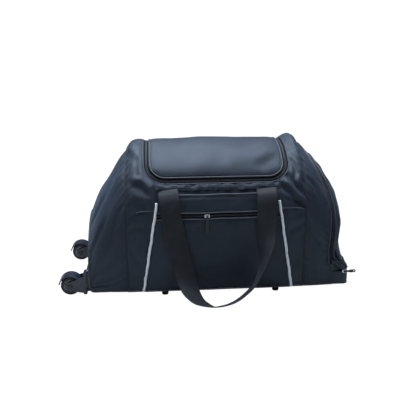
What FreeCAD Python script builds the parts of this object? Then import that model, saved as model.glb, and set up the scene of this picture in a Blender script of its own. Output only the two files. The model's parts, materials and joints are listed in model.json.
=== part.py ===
import FreeCAD, Part

import math
import os

# A wheeled bowling bag: a soft, arched holdall on a stiff base, with a zipped lid, a zipped
# end door, a zipped front pocket, two webbing carry handles, two wheels at the left end and
# a two-stage telescoping handle that comes out of the right end.
# Millimetres. X runs from the wheels to the pull handle, -Y is the pocket side, +Z is up.
# The floor is Z = 0. The bag's own middle lies BAG_X to the right of the frame's origin,
# because the wheels stick out further than the end door.

V = FreeCAD.Vector
AXIS_X = V(1, 0, 0)
AXIS_Y = V(0, 1, 0)
AXIS_Z = V(0, 0, 1)

# ---- driving dimensions -------------------------------------------------------------
BAG_X = 19.0            # from the frame's origin to the middle of the bag
FAR = 600.0             # reach of a cutting tool, past everything
FABRIC = 3.0            # padded wall, cloth plus foam plus lining
HALF_DEPTH = 147.0      # half of the bag's depth
BAG_TOP = 338.0         # crown of the arch
SHEET_FLOOR = 12.0      # underside of the base sheet, the height of the feet
WALL_FLOOR = 14.0       # where the walls start, on the base sheet
BOARD_TOP = 17.0
FALSE_FLOOR = 44.0
ARCH_Z = BAG_TOP - HALF_DEPTH

# Stations of the arched cross-section: (x, half depth, crown height)
LEFT_SEAM_X = -208.0
RIGHT_SEAM_X = 200.0
MIDDLE = [(-208, 146, 312), (-180, 147, 338), (185, 147, 338), (200, 147, 333)]
LEFT_END = [(-296, 131, 165), (-290, 135, 178), (-270, 140, 218), (-246, 143, 252),
            (-226, 145, 292), (-208, 146, 312)]
RIGHT_END = [(200, 147, 333), (238, 146, 300), (270, 143.5, 268), (300, 141, 233)]
DOOR_ARCH = [(225, 146, 311), (238, 146, 300), (262, 144, 274), (282, 143, 246),
             (298, 143, 212), (322, 143, 190)]

# The end door seen from above: (height, start of the round corner, middle of it, end of
# it, and how far the middle of the door bulges); each corner is (x, half depth)
DOOR_PLAN = [
    (40, (296, 142), (308, 136.5), (313, 122), 315.5),
    (62, (286, 144), (300, 136), (307, 120), 311),
    (100, (264, 146), (276, 138), (284, 120), 303),
    (190, (258, 147), (272, 138), (282, 118), 301),
    (340, (256, 147), (270, 138), (280, 118), 299),
]

# Lid: its outline is a rectangle with two round corners, seen square on to the arch's
# shoulder, and it ends at a hinge line over the back of the bag
LID_HALF_X = 152.0
LID_CORNER = 34.0
LID_FRONT_ANGLE = 34.5      # angles on the arch, from the front horizontal
LID_HINGE_ANGLE = 128.0
HANDLE_SEAM_ANGLE = 22.8    # seam that the carry handles are sewn into
TAPE = 7.0                  # each half of the lid's zip
GAP = 0.6                   # between a moving edge and the one that it closes on

# End door: its zip runs up a leaning plane, with a round lower corner
DOOR_FLOOR = 45.6
ZIP_CORNER_X = 300.0
ZIP_CORNER_Z = 80.0
ZIP_CORNER_R = 34.0
ZIP_TOP_X = 235.0
ZIP_TOP_Z = 340.0
DOOR_TAPE = 6.0

# Front pocket
POCKET_TOP_HALF = 130.2
POCKET_FOOT_HALF = 169.4
POCKET_SHEET = 2.4
PIPING_R = 3.0
PIPING_TOP_ANGLE = 12.6     # on the arch; the cord stops below the handle seam
ZIP_Z = 193.0
ZIP_HALF_H = 7.0
HEM_Z = 230.0

# Wheels
WHEEL_X = -342.0
WHEEL_Y = 112.0
TYRE_R = 22.5
HUB_R = 15.0
WHEEL_HALF_W = 11.0
AXLE_R = 3.0
RUNNING = 0.05
CHEEK_IN = 12.0
CHEEK_OUT = 16.0
FENDER_IN = 24.4
FENDER_OUT = 27.0
CARRIER_X = -304.0
END_PANEL_X = -299.0

# Telescoping handle
TUBE_Y = 52.0
TUBE_Z = 30.0
OUTER_TUBE = (22.0, 14.0)
MID_TUBE = (18.4, 10.4)
INNER_TUBE = (14.8, 6.8)
TUBE_WALL = 1.3
OUTER_TUBE_X = (-272.0, 286.0)      # closed end, open end
MID_TUBE_X = (-262.0, 288.0)
INNER_TUBE_X = (-250.0, 312.0)      # its last 10 mm are in the grip
GRIP_HALF = 68.0
GRIP_HALF_H = 9.0
GRIP_X = (302.0, 328.0)
BEZEL_X = (296.0, 316.0)
BEZEL_HALF = 88.0

# Carry handles: flat webbing from one end to the other, as the middle of its width, and how
# far it has turned about its own length: at 0 its face looks outward, at 90 its edge does.
# The loop is longer than the bag is high, so its bottom lies out on the floor.
WEB_HALF_W = 23.0
WEB_T = 2.4
WEB_OUTWARD = V(0, -0.93, 0.37)
WEB_PATH = [
    ((-113, -139.5, 251), 0), ((-112, -151, 240), 0), ((-110, -159, 222), 0),
    ((-106, -161, 190), 0), ((-98, -162, 150), 2), ((-89, -164, 116), 6), ((-82, -168, 80), 12),
    ((-74, -178, 48), 24), ((-65, -194, 27), 42), ((-53, -214, 15), 62), ((-38, -231, 11), 78),
    ((-18, -242, 10), 90), ((8, -237, 11), 90), ((34, -221, 15), 90), ((58, -207, 27), 90),
    ((77, -198, 44), 84), ((88, -192, 66), 74), ((96, -186, 92), 56), ((102, -179, 120), 34),
    ((106, -172, 148), 16), ((108, -166, 176), 6), ((109, -161, 204), 0), ((109, -158, 224), 0),
    ((109, -151, 240), 0), ((109, -139.5, 251), 0),
]


# ---- small tools --------------------------------------------------------------------
def save(name, shape):
    """Writes one node, moved from the bag's frame to the part's frame."""
    moved = shape.copy()
    moved.translate(V(BAG_X, 0, 0))
    moved.exportStep("parts/" + name + ".step")
    print("%-24s solids %d volume %.0f" % (name, len(moved.Solids), moved.Volume))


def box(x0, x1, y0, y1, z0, z1):
    return Part.makeBox(x1 - x0, y1 - y0, z1 - z0, V(x0, y0, z0))


def rounded_box(x0, x1, y0, y1, z0, z1, radius, direction=AXIS_X):
    """A box whose four edges along one axis are round."""
    solid = box(x0, x1, y0, y1, z0, z1)
    picked = []
    for edge in solid.Edges:
        way = edge.tangentAt(edge.FirstParameter)
        if abs(way.dot(direction)) > 0.99:
            picked.append(edge)
    return solid.makeFillet(radius, picked)


def prism(points, direction):
    """A straight prism on a closed polygon."""
    wire = Part.makePolygon(points + [points[0]])
    return Part.Face(wire).extrude(direction)


def side_prism(outline, y0=-FAR, y1=FAR):
    """A prism across the bag, from an outline of (x, z) points."""
    return prism([V(x, y0, z) for x, z in outline], V(0, y1 - y0, 0))


def pin(point, axis, radius, length):
    return Part.makeCylinder(radius, length, point, axis)


def arch_wire(x, half, crown, floor):
    """The bag's cross-section: flat base, upright sides, semicircular top."""
    spring = crown - half
    a = V(x, -half, floor)
    b = V(x, -half, spring)
    c = V(x, half, spring)
    d = V(x, half, floor)
    arch = Part.Arc(b, V(x, 0, crown), c).toShape()
    return Part.Wire([Part.makeLine(a, b), arch, Part.makeLine(c, d), Part.makeLine(d, a)])


def arch_solid(stations, inset, floor):
    wires = [arch_wire(x, half - inset, crown - inset, floor) for x, half, crown in stations]
    return Part.makeLoft(wires, True, True)


def arch_shell(stations):
    """A wall of fabric that follows the stations, open below."""
    return arch_solid(stations, 0, WALL_FLOOR).cut(arch_solid(stations, FABRIC, WALL_FLOOR - 5))


def on_arch(angle, radius, x=0.0):
    """A point on a circle about the arch's axis; 0 is the front, 90 the crown."""
    turn = math.radians(angle)
    return V(x, -radius * math.cos(turn), ARCH_Z + radius * math.sin(turn))


def sector(low, high, x0, x1):
    """Everything between two angles about the arch's axis."""
    steps = max(2, int(math.ceil((high - low) / 45.0)))
    rim = [on_arch(low + (high - low) * i / steps, FAR, x0) for i in range(steps + 1)]
    return prism([on_arch(0, 0, x0)] + rim, V(x1 - x0, 0, 0))


def lid_prism(grow):
    """The lid's outline, grown by a margin, run through the arch's front shoulder."""
    look = V(0, -math.cos(math.radians(60)), math.sin(math.radians(60)))
    down = V(0, -look.z, look.y)
    front = on_arch(LID_FRONT_ANGLE, HALF_DEPTH).dot(down) + grow
    half = LID_HALF_X + grow
    r = LID_CORNER + grow
    back = front - FAR

    def at(x, t):
        return AXIS_X * x + down * t + look * -FAR

    s = r * math.sqrt(0.5)
    edges = [
        Part.makeLine(at(-half, back), at(-half, front - r)),
        Part.Arc(at(-half, front - r), at(-half + r - s, front - r + s), at(-half + r, front)).toShape(),
        Part.makeLine(at(-half + r, front), at(half - r, front)),
        Part.Arc(at(half - r, front), at(half - r + s, front - r + s), at(half, front - r)).toShape(),
        Part.makeLine(at(half, front - r), at(half, back)),
        Part.makeLine(at(half, back), at(-half, back)),
    ]
    return Part.Face(Part.Wire(edges)).extrude(look * (2 * FAR))


def door_region(grow):
    """Everything on the door's side of the end zip; a positive margin moves the edge
    into the door."""
    lean = math.atan2(ZIP_CORNER_X - ZIP_CORNER_R - ZIP_TOP_X, ZIP_TOP_Z - ZIP_CORNER_Z)
    shift = V(math.cos(lean), 0, math.sin(lean)) * grow
    r = ZIP_CORNER_R - grow
    centre = V(ZIP_CORNER_X, -FAR, ZIP_CORNER_Z)
    first = centre + V(-r, 0, 0)
    last = centre + V(0, 0, -r)
    middle = centre + V(-r, 0, -r) * math.sqrt(0.5)
    top = V(ZIP_TOP_X, -FAR, ZIP_TOP_Z) + shift
    far_top = V(FAR, -FAR, ZIP_TOP_Z)
    far_foot = V(FAR, -FAR, ZIP_CORNER_Z - r)
    edges = [
        Part.makeLine(top, first),
        Part.Arc(first, middle, last).toShape(),
        Part.makeLine(last, far_foot),
        Part.makeLine(far_foot, far_top),
        Part.makeLine(far_top, top),
    ]
    return Part.Face(Part.Wire(edges)).extrude(V(0, 2 * FAR, 0))


def tube(size, x0, x1, y, wall=TUBE_WALL):
    """A rectangular tube along X."""
    w, h = size
    outside = rounded_box(x0, x1, y - w / 2, y + w / 2, TUBE_Z - h / 2, TUBE_Z + h / 2, 2.0)
    w, h = w - 2 * wall, h - 2 * wall
    bore = rounded_box(x0 - 1, x1 + 1, y - w / 2, y + w / 2, TUBE_Z - h / 2, TUBE_Z + h / 2, 0.9)
    return outside.cut(bore)


# ---- walls of the bag ---------------------------------------------------------------
def make_base():
    sheet = rounded_box(-296, 313, -141, 141, SHEET_FLOOR, WALL_FLOOR, 14, AXIS_Z)
    middle = box(LEFT_SEAM_X, RIGHT_SEAM_X, -146, 146, SHEET_FLOOR, WALL_FLOOR)
    return sheet.fuse(middle).removeSplitter()


def make_board():
    """The stiffener inside the base, wider between the two vertical seams."""
    board = rounded_box(-283, 295, -126, 126, WALL_FLOOR, BOARD_TOP, 12, AXIS_Z)
    middle = box(LEFT_SEAM_X + 8, RIGHT_SEAM_X - 8, -142, 142, WALL_FLOOR, BOARD_TOP)
    return board.fuse(middle).removeSplitter()


def make_middle_walls():
    shell = arch_shell(MIDDLE)
    x0, x1 = LEFT_SEAM_X - 5, RIGHT_SEAM_X + 5
    edge = LID_HALF_X + 2 * TAPE + GAP
    walls = {
        "front_panel": shell.common(sector(-90, HANDLE_SEAM_ANGLE, x0, x1)),
        "back_panel": shell.common(sector(180 - HANDLE_SEAM_ANGLE, 270, x0, x1)),
    }
    upper = shell.common(sector(HANDLE_SEAM_ANGLE, 180 - HANDLE_SEAM_ANGLE, x0, x1))
    walls["left_shoulder"] = upper.common(box(x0, -edge, -FAR, FAR, 0, FAR))
    walls["right_shoulder"] = upper.common(box(edge, x1, -FAR, FAR, 0, FAR))
    between = upper.common(box(-edge, edge, -FAR, FAR, 0, FAR))
    front = between.common(sector(0, 70, x0, x1))
    walls["front_yoke"] = front.cut(lid_prism(2 * TAPE + GAP))
    walls["rear_yoke"] = between.common(sector(LID_HINGE_ANGLE + 0.4, 180, x0, x1))
    behind_hinge = sector(LID_HINGE_ANGLE + 0.4, 300, x0, x1)
    ring = between.common(lid_prism(2 * TAPE + GAP)).cut(lid_prism(TAPE + GAP))
    walls["lid_zip_tape_body"] = ring.cut(behind_hinge)
    over_lid = between.cut(sector(LID_HINGE_ANGLE, 300, x0, x1))
    walls["lid_zip_tape_lid"] = over_lid.common(lid_prism(TAPE)).cut(lid_prism(0))
    walls["lid_panel"] = over_lid.common(lid_prism(0))
    return walls


def make_left_end():
    gusset = arch_shell(LEFT_END)
    panel = arch_solid([(END_PANEL_X, 129, 161), (-296, 131, 165)], 0, WALL_FLOOR)
    return {"left_gusset": gusset, "left_end_panel": panel}


def door_plan_solid(inset):
    """The end door's shape as seen from above, as a solid that bounds the door."""
    wires = []
    for z, first, middle, last, bulge in DOOR_PLAN:
        side = [V(x - inset, y - inset, z) for x, y in (first, middle, last)]
        other = [V(p.x, -p.y, z) for p in side]
        nose = V(bulge - inset, 0, z)
        back = [V(200, -side[0].y, z), V(200, side[0].y, z)]
        wires.append(Part.Wire([
            Part.makeLine(back[0], other[0]),
            Part.Arc(other[0], other[1], other[2]).toShape(),
            Part.Arc(other[2], nose, side[2]).toShape(),
            Part.Arc(side[2], side[1], side[0]).toShape(),
            Part.makeLine(side[0], back[1]),
            Part.makeLine(back[1], back[0]),
        ]))
    return Part.makeLoft(wires, True, True)


def make_right_end():
    wall = arch_shell(RIGHT_END)
    above_cuff = box(0, FAR, -FAR, FAR, DOOR_FLOOR, FAR)
    body_side = wall.cut(door_region(0))
    body_side = body_side.cut(box(270, FAR, -FAR, FAR, -FAR, DOOR_FLOOR - GAP))
    beside_zip = door_region(-DOOR_TAPE).common(above_cuff)
    tape = body_side.common(beside_zip)
    gusset = body_side.cut(beside_zip)

    solid = arch_solid(DOOR_ARCH, 0, DOOR_FLOOR).common(door_plan_solid(0))
    hollow = arch_solid(DOOR_ARCH, FABRIC, DOOR_FLOOR - 5).common(door_plan_solid(FABRIC))
    door = solid.cut(hollow).common(door_region(GAP))
    panel = door.common(door_region(GAP + DOOR_TAPE))
    door_tape = door.cut(door_region(GAP + DOOR_TAPE))
    return {"right_gusset": gusset, "end_zip_tape_body": tape,
            "end_door_panel": panel, "end_zip_tape_door": door_tape}


def make_cuff(side):
    """The upright strip of base sheet round one corner of the pull-handle end."""
    half = BEZEL_HALF + 0.3
    outline = [(270.4, 143), (296, 141.5), (307, 136.5), (312.5, 124), (314.5, half)]
    inner = [(311.5, half), (309.6, 122.5), (304.8, 134), (295.4, 138.5), (270.4, 140)]
    points = [V(x, side * y, WALL_FLOOR) for x, y in outline + inner]
    return prism(points, V(0, 0, DOOR_FLOOR - GAP - WALL_FLOOR))


def make_divider():
    plate = Part.Face(arch_wire(201, HALF_DEPTH - 4.5, 327.5, 46)).extrude(V(2, 0, 0))
    return plate


# ---- inside the bag -----------------------------------------------------------------
BALL_R = 110.0
BALL_X = (-160.0, 66.0)
BALL_Z = 159.0
TRAY_TOP = 78.0


def make_tray():
    tray = rounded_box(-276, 186, -118, 118, 46, TRAY_TOP, 20, AXIS_Z)
    for x in BALL_X:
        tray = tray.cut(Part.makeSphere(BALL_R, V(x, 0, BALL_Z)))
    return tray


# ---- front pocket -------------------------------------------------------------------
def pocket_half(z):
    """Half width of the pocket at a height: it is wider at the foot."""
    share = (z - WALL_FLOOR) / (250.0 - WALL_FLOOR)
    return POCKET_FOOT_HALF + (POCKET_TOP_HALF - POCKET_FOOT_HALF) * share


def pocket_band(z0, z1, thickness):
    """A band of the pocket between two heights, lying on the front panel."""
    y0 = -HALF_DEPTH
    a, b = pocket_half(z0), pocket_half(z1)
    points = [V(-a, y0, z0), V(a, y0, z0), V(b, y0, z1), V(-b, y0, z1)]
    return prism(points, V(0, -thickness, 0))


def make_pocket():
    lower = pocket_band(WALL_FLOOR + 1, ZIP_Z - ZIP_HALF_H, POCKET_SHEET)
    zip_strip = pocket_band(ZIP_Z - ZIP_HALF_H, ZIP_Z + ZIP_HALF_H, POCKET_SHEET - 0.6)
    teeth = box(-138, 138, -HALF_DEPTH - POCKET_SHEET - 0.4, -HALF_DEPTH - 1, ZIP_Z - 1.8, ZIP_Z + 1.8)
    # above the zip the pocket follows the start of the arch
    shell = arch_solid([(-145, HALF_DEPTH + POCKET_SHEET, BAG_TOP + POCKET_SHEET),
                        (145, HALF_DEPTH + POCKET_SHEET, BAG_TOP + POCKET_SHEET)], 0, WALL_FLOOR)
    body = arch_solid([(-150, HALF_DEPTH, BAG_TOP), (150, HALF_DEPTH, BAG_TOP)], 0, 0)
    a, b = pocket_half(ZIP_Z + ZIP_HALF_H), pocket_half(HEM_Z + 10)
    low, high = ZIP_Z + ZIP_HALF_H, HEM_Z + 10
    front = prism([V(-a, -FAR, low), V(a, -FAR, low), V(b, -FAR, high), V(-b, -FAR, high)], V(0, FAR, 0))
    upper = shell.cut(body).common(front)
    return {"pocket_panel": lower, "pocket_zip": zip_strip.fuse(teeth).removeSplitter(),
            "pocket_top_panel": upper}


def make_piping(side):
    """One white piping cord, down the pocket's side seam."""
    gap = PIPING_R + 0.4
    y = -HALF_DEPTH - PIPING_R
    low = V(side * (pocket_half(WALL_FLOOR) + gap), y, WALL_FLOOR + 1)
    high = V(side * (pocket_half(ARCH_Z) + gap), y, ARCH_Z)
    radius = HALF_DEPTH + PIPING_R
    top = on_arch(PIPING_TOP_ANGLE, radius, side * (pocket_half(223) + gap))
    bend = on_arch(PIPING_TOP_ANGLE / 2, radius, side * (pocket_half(207) + gap))
    path = Part.Wire([Part.makeLine(low, high), Part.Arc(high, bend, top).toShape()])
    profile = Part.Wire(Part.makeCircle(PIPING_R, low, high - low))
    return path.makePipeShell([profile], True, False, 2)


# ---- wheels -------------------------------------------------------------------------
def make_tyre(y):
    r, w, edge = TYRE_R, WHEEL_HALF_W, 4.0
    solid = pin(V(WHEEL_X, y - w, TYRE_R), AXIS_Y, r, 2 * w)
    solid = solid.makeFillet(edge, [e for e in solid.Edges if len(e.Vertexes) == 1])
    return solid.cut(pin(V(WHEEL_X, y - FAR, TYRE_R), AXIS_Y, HUB_R, 2 * FAR))


def make_hub(y):
    """A hub with five round windows."""
    w = WHEEL_HALF_W - 1.0
    solid = pin(V(WHEEL_X, y - w, TYRE_R), AXIS_Y, HUB_R, 2 * w)
    solid = solid.cut(pin(V(WHEEL_X, y - FAR, TYRE_R), AXIS_Y, AXLE_R + RUNNING, 2 * FAR))
    for i in range(5):
        turn = math.radians(90 + 72 * i)
        x = WHEEL_X + 9.6 * math.cos(turn)
        z = TYRE_R + 9.6 * math.sin(turn)
        solid = solid.cut(pin(V(x, y - FAR, z), AXIS_Y, 2.6, 2 * FAR))
    return solid


def make_fork(y):
    """A block on the carrier, two cheeks that hold the axle, and a fender over the wheel."""
    block = box(-311.5, CARRIER_X, y - CHEEK_OUT, y + CHEEK_OUT, 3, 52)
    fork = block
    for side in (-1, 1):
        inner, outer = sorted((y + side * CHEEK_IN, y + side * CHEEK_OUT))
        boss = pin(V(WHEEL_X, inner, TYRE_R), AXIS_Y, 11.0, outer - inner)
        arm = prism([V(WHEEL_X - 2, inner, TYRE_R + 10.8), V(CARRIER_X, inner, 48),
                     V(CARRIER_X, inner, 5), V(WHEEL_X + 2, inner, TYRE_R - 10.8)],
                    V(0, outer - inner, 0))
        fork = fork.fuse(boss).fuse(arm)
    band = pin(V(WHEEL_X, y - CHEEK_OUT, TYRE_R), AXIS_Y, FENDER_OUT, 2 * CHEEK_OUT)
    band = band.cut(pin(V(WHEEL_X, y - FAR, TYRE_R), AXIS_Y, FENDER_IN, 2 * FAR))
    # kept from the carrier, over the top, to just behind the wheel
    low, tip = 12.0, 168.0
    rim = []
    for i in range(5):
        turn = math.radians(low + (tip - low) * i / 4)
        rim.append(V(WHEEL_X + 80 * math.cos(turn), y - FAR, TYRE_R + 80 * math.sin(turn)))
    wedge = prism([V(WHEEL_X, y - FAR, TYRE_R)] + rim, V(0, 2 * FAR, 0))
    room = pin(V(WHEEL_X, y - CHEEK_IN + 0.1, TYRE_R), AXIS_Y, FENDER_IN, 2 * CHEEK_IN - 0.2)
    fork = fork.cut(room).fuse(band.common(wedge))
    fork = fork.common(box(-FAR, CARRIER_X, -FAR, FAR, 0, FAR))
    fork = fork.cut(pin(V(WHEEL_X, y - FAR, TYRE_R), AXIS_Y, AXLE_R, 2 * FAR))
    return fork.removeSplitter()


def make_axle(y):
    shank = pin(V(WHEEL_X, y - CHEEK_OUT, TYRE_R), AXIS_Y, AXLE_R, 2 * CHEEK_OUT)
    for side in (-1, 1):
        head = pin(V(WHEEL_X, y + side * CHEEK_OUT, TYRE_R), AXIS_Y * side, 5.5, 2.2)
        shank = shank.fuse(head.makeFillet(1.2, [head.Edges[0]]))
    return shank.removeSplitter()


CARRIER_RIVETS = [(-276.0, y) for y in (-112.0, -84.0, 84.0, 112.0)]
FEET = {"front_left": (-123.0, -133.0), "front_right": (138.0, -133.0),
        "rear_left": (-123.0, 133.0), "rear_right": (138.0, 133.0)}
RIVET_R = 2.2
SCREW_R = 2.0


def make_carrier():
    """The moulded kick plate that holds both forks: an upright and a lip under the base."""
    upright = rounded_box(CARRIER_X, END_PANEL_X - 0.2, -124, 124, 9, 60, 8, AXIS_X)
    lip = box(CARRIER_X, -264, -124, 124, 9, SHEET_FLOOR)
    return upright.fuse(lip).removeSplitter()


def make_rivets():
    made = []
    for x, y in CARRIER_RIVETS:
        shank = pin(V(x, y, 9), AXIS_Z, RIVET_R, BOARD_TOP - 9)
        low = pin(V(x, y, 7.4), AXIS_Z, 4.5, 1.6)
        high = pin(V(x, y, BOARD_TOP), AXIS_Z, 4.0, 1.2)
        made.append(shank.fuse(low).fuse(high).removeSplitter())
    return made


def make_foot(x, y):
    foot = Part.makeCone(7.4, 8.6, SHEET_FLOOR, V(x, y, 0), AXIS_Z)
    return foot.cut(pin(V(x, y, 4), AXIS_Z, SCREW_R, 20))


def make_foot_screws():
    made = []
    for x, y in FEET.values():
        shank = pin(V(x, y, 4), AXIS_Z, SCREW_R, BOARD_TOP - 4)
        head = pin(V(x, y, BOARD_TOP), AXIS_Z, 4.2, 2.2)
        made.append(shank.fuse(head).removeSplitter())
    return made


def drill_base(shape):
    """Cuts the holes that the rivets and the foot screws go through."""
    for x, y in CARRIER_RIVETS:
        shape = shape.cut(pin(V(x, y, 0), AXIS_Z, RIVET_R, 30))
    for x, y in FEET.values():
        shape = shape.cut(pin(V(x, y, 0), AXIS_Z, SCREW_R, 30))
    return shape


# ---- telescoping handle -------------------------------------------------------------
def tube_pair(size, x0, x1):
    return [tube(size, x0, x1, side * TUBE_Y) for side in (-1, 1)]


def tube_socket(x0, x1, side):
    w, h = OUTER_TUBE
    y = side * TUBE_Y
    return rounded_box(x0, x1, y - w / 2, y + w / 2, TUBE_Z - h / 2, TUBE_Z + h / 2, 2.0)


def make_end_block():
    """A moulded block that closes the far ends of both outer tubes."""
    block = rounded_box(-280, -262, -70, 70, BOARD_TOP, FALSE_FLOOR, 4, AXIS_X)
    for side in (-1, 1):
        block = block.cut(tube_socket(OUTER_TUBE_X[0], OUTER_TUBE_X[0] + 22, side))
    return block


def make_clamp():
    """A collar round the mouth of each outer tube, joined by a low bridge, which leaves
    room for the fingers between them."""
    clamp = box(268, 284, -70, 70, BOARD_TOP, BOARD_TOP + 3)
    for side in (-1, 1):
        y = side * TUBE_Y
        clamp = clamp.fuse(box(268, 284, y - 18, y + 18, BOARD_TOP, FALSE_FLOOR))
    for side in (-1, 1):
        clamp = clamp.cut(tube_socket(260, OUTER_TUBE_X[1] + 4, side))
    return clamp.removeSplitter()


def make_bezel():
    """The moulded frame in the end wall that the grip nests in."""
    x0, x1 = BEZEL_X
    frame = rounded_box(x0, x1, -BEZEL_HALF, BEZEL_HALF, WALL_FLOOR, DOOR_FLOOR - GAP, 5, AXIS_X)
    hole = rounded_box(x0 - 10, x1 + 10, 6 - BEZEL_HALF, BEZEL_HALF - 6, 16.5, 43, 6, AXIS_X)
    return frame.cut(hole)


BUTTON_HALF = 17.0
BUTTON_HALF_H = 4.0


def make_grip():
    x0, x1 = GRIP_X
    grip = rounded_box(x0, x1, -GRIP_HALF, GRIP_HALF, TUBE_Z - GRIP_HALF_H, TUBE_Z + GRIP_HALF_H,
                       7, AXIS_Y)
    w, h = INNER_TUBE
    for side in (-1, 1):
        y = side * TUBE_Y
        socket = rounded_box(x0 - 5, x0 + 10, y - w / 2, y + w / 2, TUBE_Z - h / 2, TUBE_Z + h / 2, 2.0)
        grip = grip.cut(socket)
    well = box(x1 - 13, x1 + 5, -BUTTON_HALF - 0.4, BUTTON_HALF + 0.4,
               TUBE_Z - BUTTON_HALF_H - 0.4, TUBE_Z + BUTTON_HALF_H + 0.4)
    return grip.cut(well)


def make_button():
    x1 = GRIP_X[1] + 2.0
    return rounded_box(x1 - 9, x1, -BUTTON_HALF, BUTTON_HALF, TUBE_Z - BUTTON_HALF_H,
                       TUBE_Z + BUTTON_HALF_H, 2.5, AXIS_X)


# ---- zip sliders --------------------------------------------------------------------
BRIDGE_Z = 5.4


def make_slider(across):
    """A slider in its own frame: it travels along X on a face at Z = 0. The bridge pin
    runs along Y, or along X if the pull hangs across the zip."""
    body = rounded_box(-6, 6, -3.8, 3.8, 0.5, 3.7, 2.5, AXIS_Z)
    bridge = pin(V(0, -3.2, BRIDGE_Z), AXIS_Y, 0.8, 6.4)
    for side in (-1, 1):
        y0, y1 = sorted((side * 2.5, side * 3.5))
        bridge = bridge.fuse(box(-1.4, 1.4, y0, y1, 3.2, BRIDGE_Z + 1.2))
    if across:
        bridge.rotate(V(0, 0, 0), AXIS_Z, -90)
    return body.fuse(bridge).removeSplitter()


def make_pull(length, across):
    """A pull tab on the bridge pin, lying along +X, or along -Y if it hangs across."""
    eye = pin(V(0, -2.3, BRIDGE_Z), AXIS_Y, 1.6, 4.6)
    tab = rounded_box(0.6, length, -2.3, 2.3, BRIDGE_Z - 0.7, BRIDGE_Z + 0.7, 1.5, AXIS_Z)
    wide = rounded_box(length * 0.4, length, -3.4, 3.4, BRIDGE_Z - 0.9, BRIDGE_Z + 0.9, 2.0, AXIS_Z)
    pull = eye.fuse(tab).fuse(wide).cut(pin(V(0, -5, BRIDGE_Z), AXIS_Y, 0.9, 10))
    pull = pull.cut(pin(V(length - 4, 0, 0), AXIS_Z, 1.6, 20)).removeSplitter()
    if across:
        pull.rotate(V(0, 0, 0), AXIS_Z, -90)
    return pull


def place(shape, x_way, normal, point):
    """Puts a slider or pull on a face: its X along x_way, its Z along the normal."""
    y_way = normal.cross(x_way)
    m = FreeCAD.Matrix(x_way.x, y_way.x, normal.x, point.x,
                       x_way.y, y_way.y, normal.y, point.y,
                       x_way.z, y_way.z, normal.z, point.z, 0, 0, 0, 1)
    made = shape.copy()
    made.Placement = FreeCAD.Placement(m).multiply(made.Placement)
    return made


LID_SLIDER_ANGLE = 118.0
LID_SLIDER_X = LID_HALF_X + TAPE + GAP + 4.6
POCKET_SLIDER_X = -26.0
DOOR_SLIDER_Y = -142.2
DOOR_WALL_SLOPE = math.radians(4.76)    # how far the wall turns in, towards the door


def save_sliders():
    """Two on the lid's zip, one on the pocket's and one on the end door's."""
    turn = math.radians(LID_SLIDER_ANGLE)
    outward = V(0, -math.cos(turn), math.sin(turn))
    back = V(0, math.sin(turn), math.cos(turn))
    for name, side in (("left", -1), ("right", 1)):
        point = on_arch(LID_SLIDER_ANGLE, HALF_DEPTH, side * LID_SLIDER_X)
        save("lid_slider_" + name, place(make_slider(False), back, outward, point))
        save("lid_pull_" + name, place(make_pull(26, False), back, outward, point))
    point = V(POCKET_SLIDER_X, -HALF_DEPTH - POCKET_SHEET, ZIP_Z)
    save("pocket_slider", place(make_slider(True), AXIS_X, V(0, -1, 0), point))
    save("pocket_pull", place(make_pull(42, True), AXIS_X, V(0, -1, 0), point))
    point = V(ZIP_CORNER_X, DOOR_SLIDER_Y, ZIP_CORNER_Z - ZIP_CORNER_R)
    outward = V(math.sin(DOOR_WALL_SLOPE), -math.cos(DOOR_WALL_SLOPE), 0)
    along = V(math.cos(DOOR_WALL_SLOPE), math.sin(DOOR_WALL_SLOPE), 0)
    save("door_slider", place(make_slider(False), along, outward, point))
    save("door_pull", place(make_pull(26, False), along, outward, point))


# ---- carry handles ------------------------------------------------------------------
def make_webbing():
    """A flat strap: a four-sided section carried along the route, turning with it."""
    count = len(WEB_PATH)
    wires = []
    for i, (centre, roll) in enumerate(WEB_PATH):
        before = V(*WEB_PATH[max(0, i - 1)][0])
        after = V(*WEB_PATH[min(count - 1, i + 1)][0])
        along = (after - before).normalize()
        outward = (WEB_OUTWARD - along * WEB_OUTWARD.dot(along)).normalize()
        inward = along.cross(outward)
        turn = math.radians(roll)
        wide = inward * math.cos(turn) + outward * math.sin(turn)
        thick = along.cross(wide)
        c = V(*centre)
        corners = []
        for a, b in ((-1, -1), (1, -1), (1, 1), (-1, 1)):
            corners.append(c + wide * (a * WEB_HALF_W) + thick * (b * WEB_T / 2))
        wires.append(Part.makePolygon(corners + [corners[0]]))
    return Part.makeLoft(wires, True, True)


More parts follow.
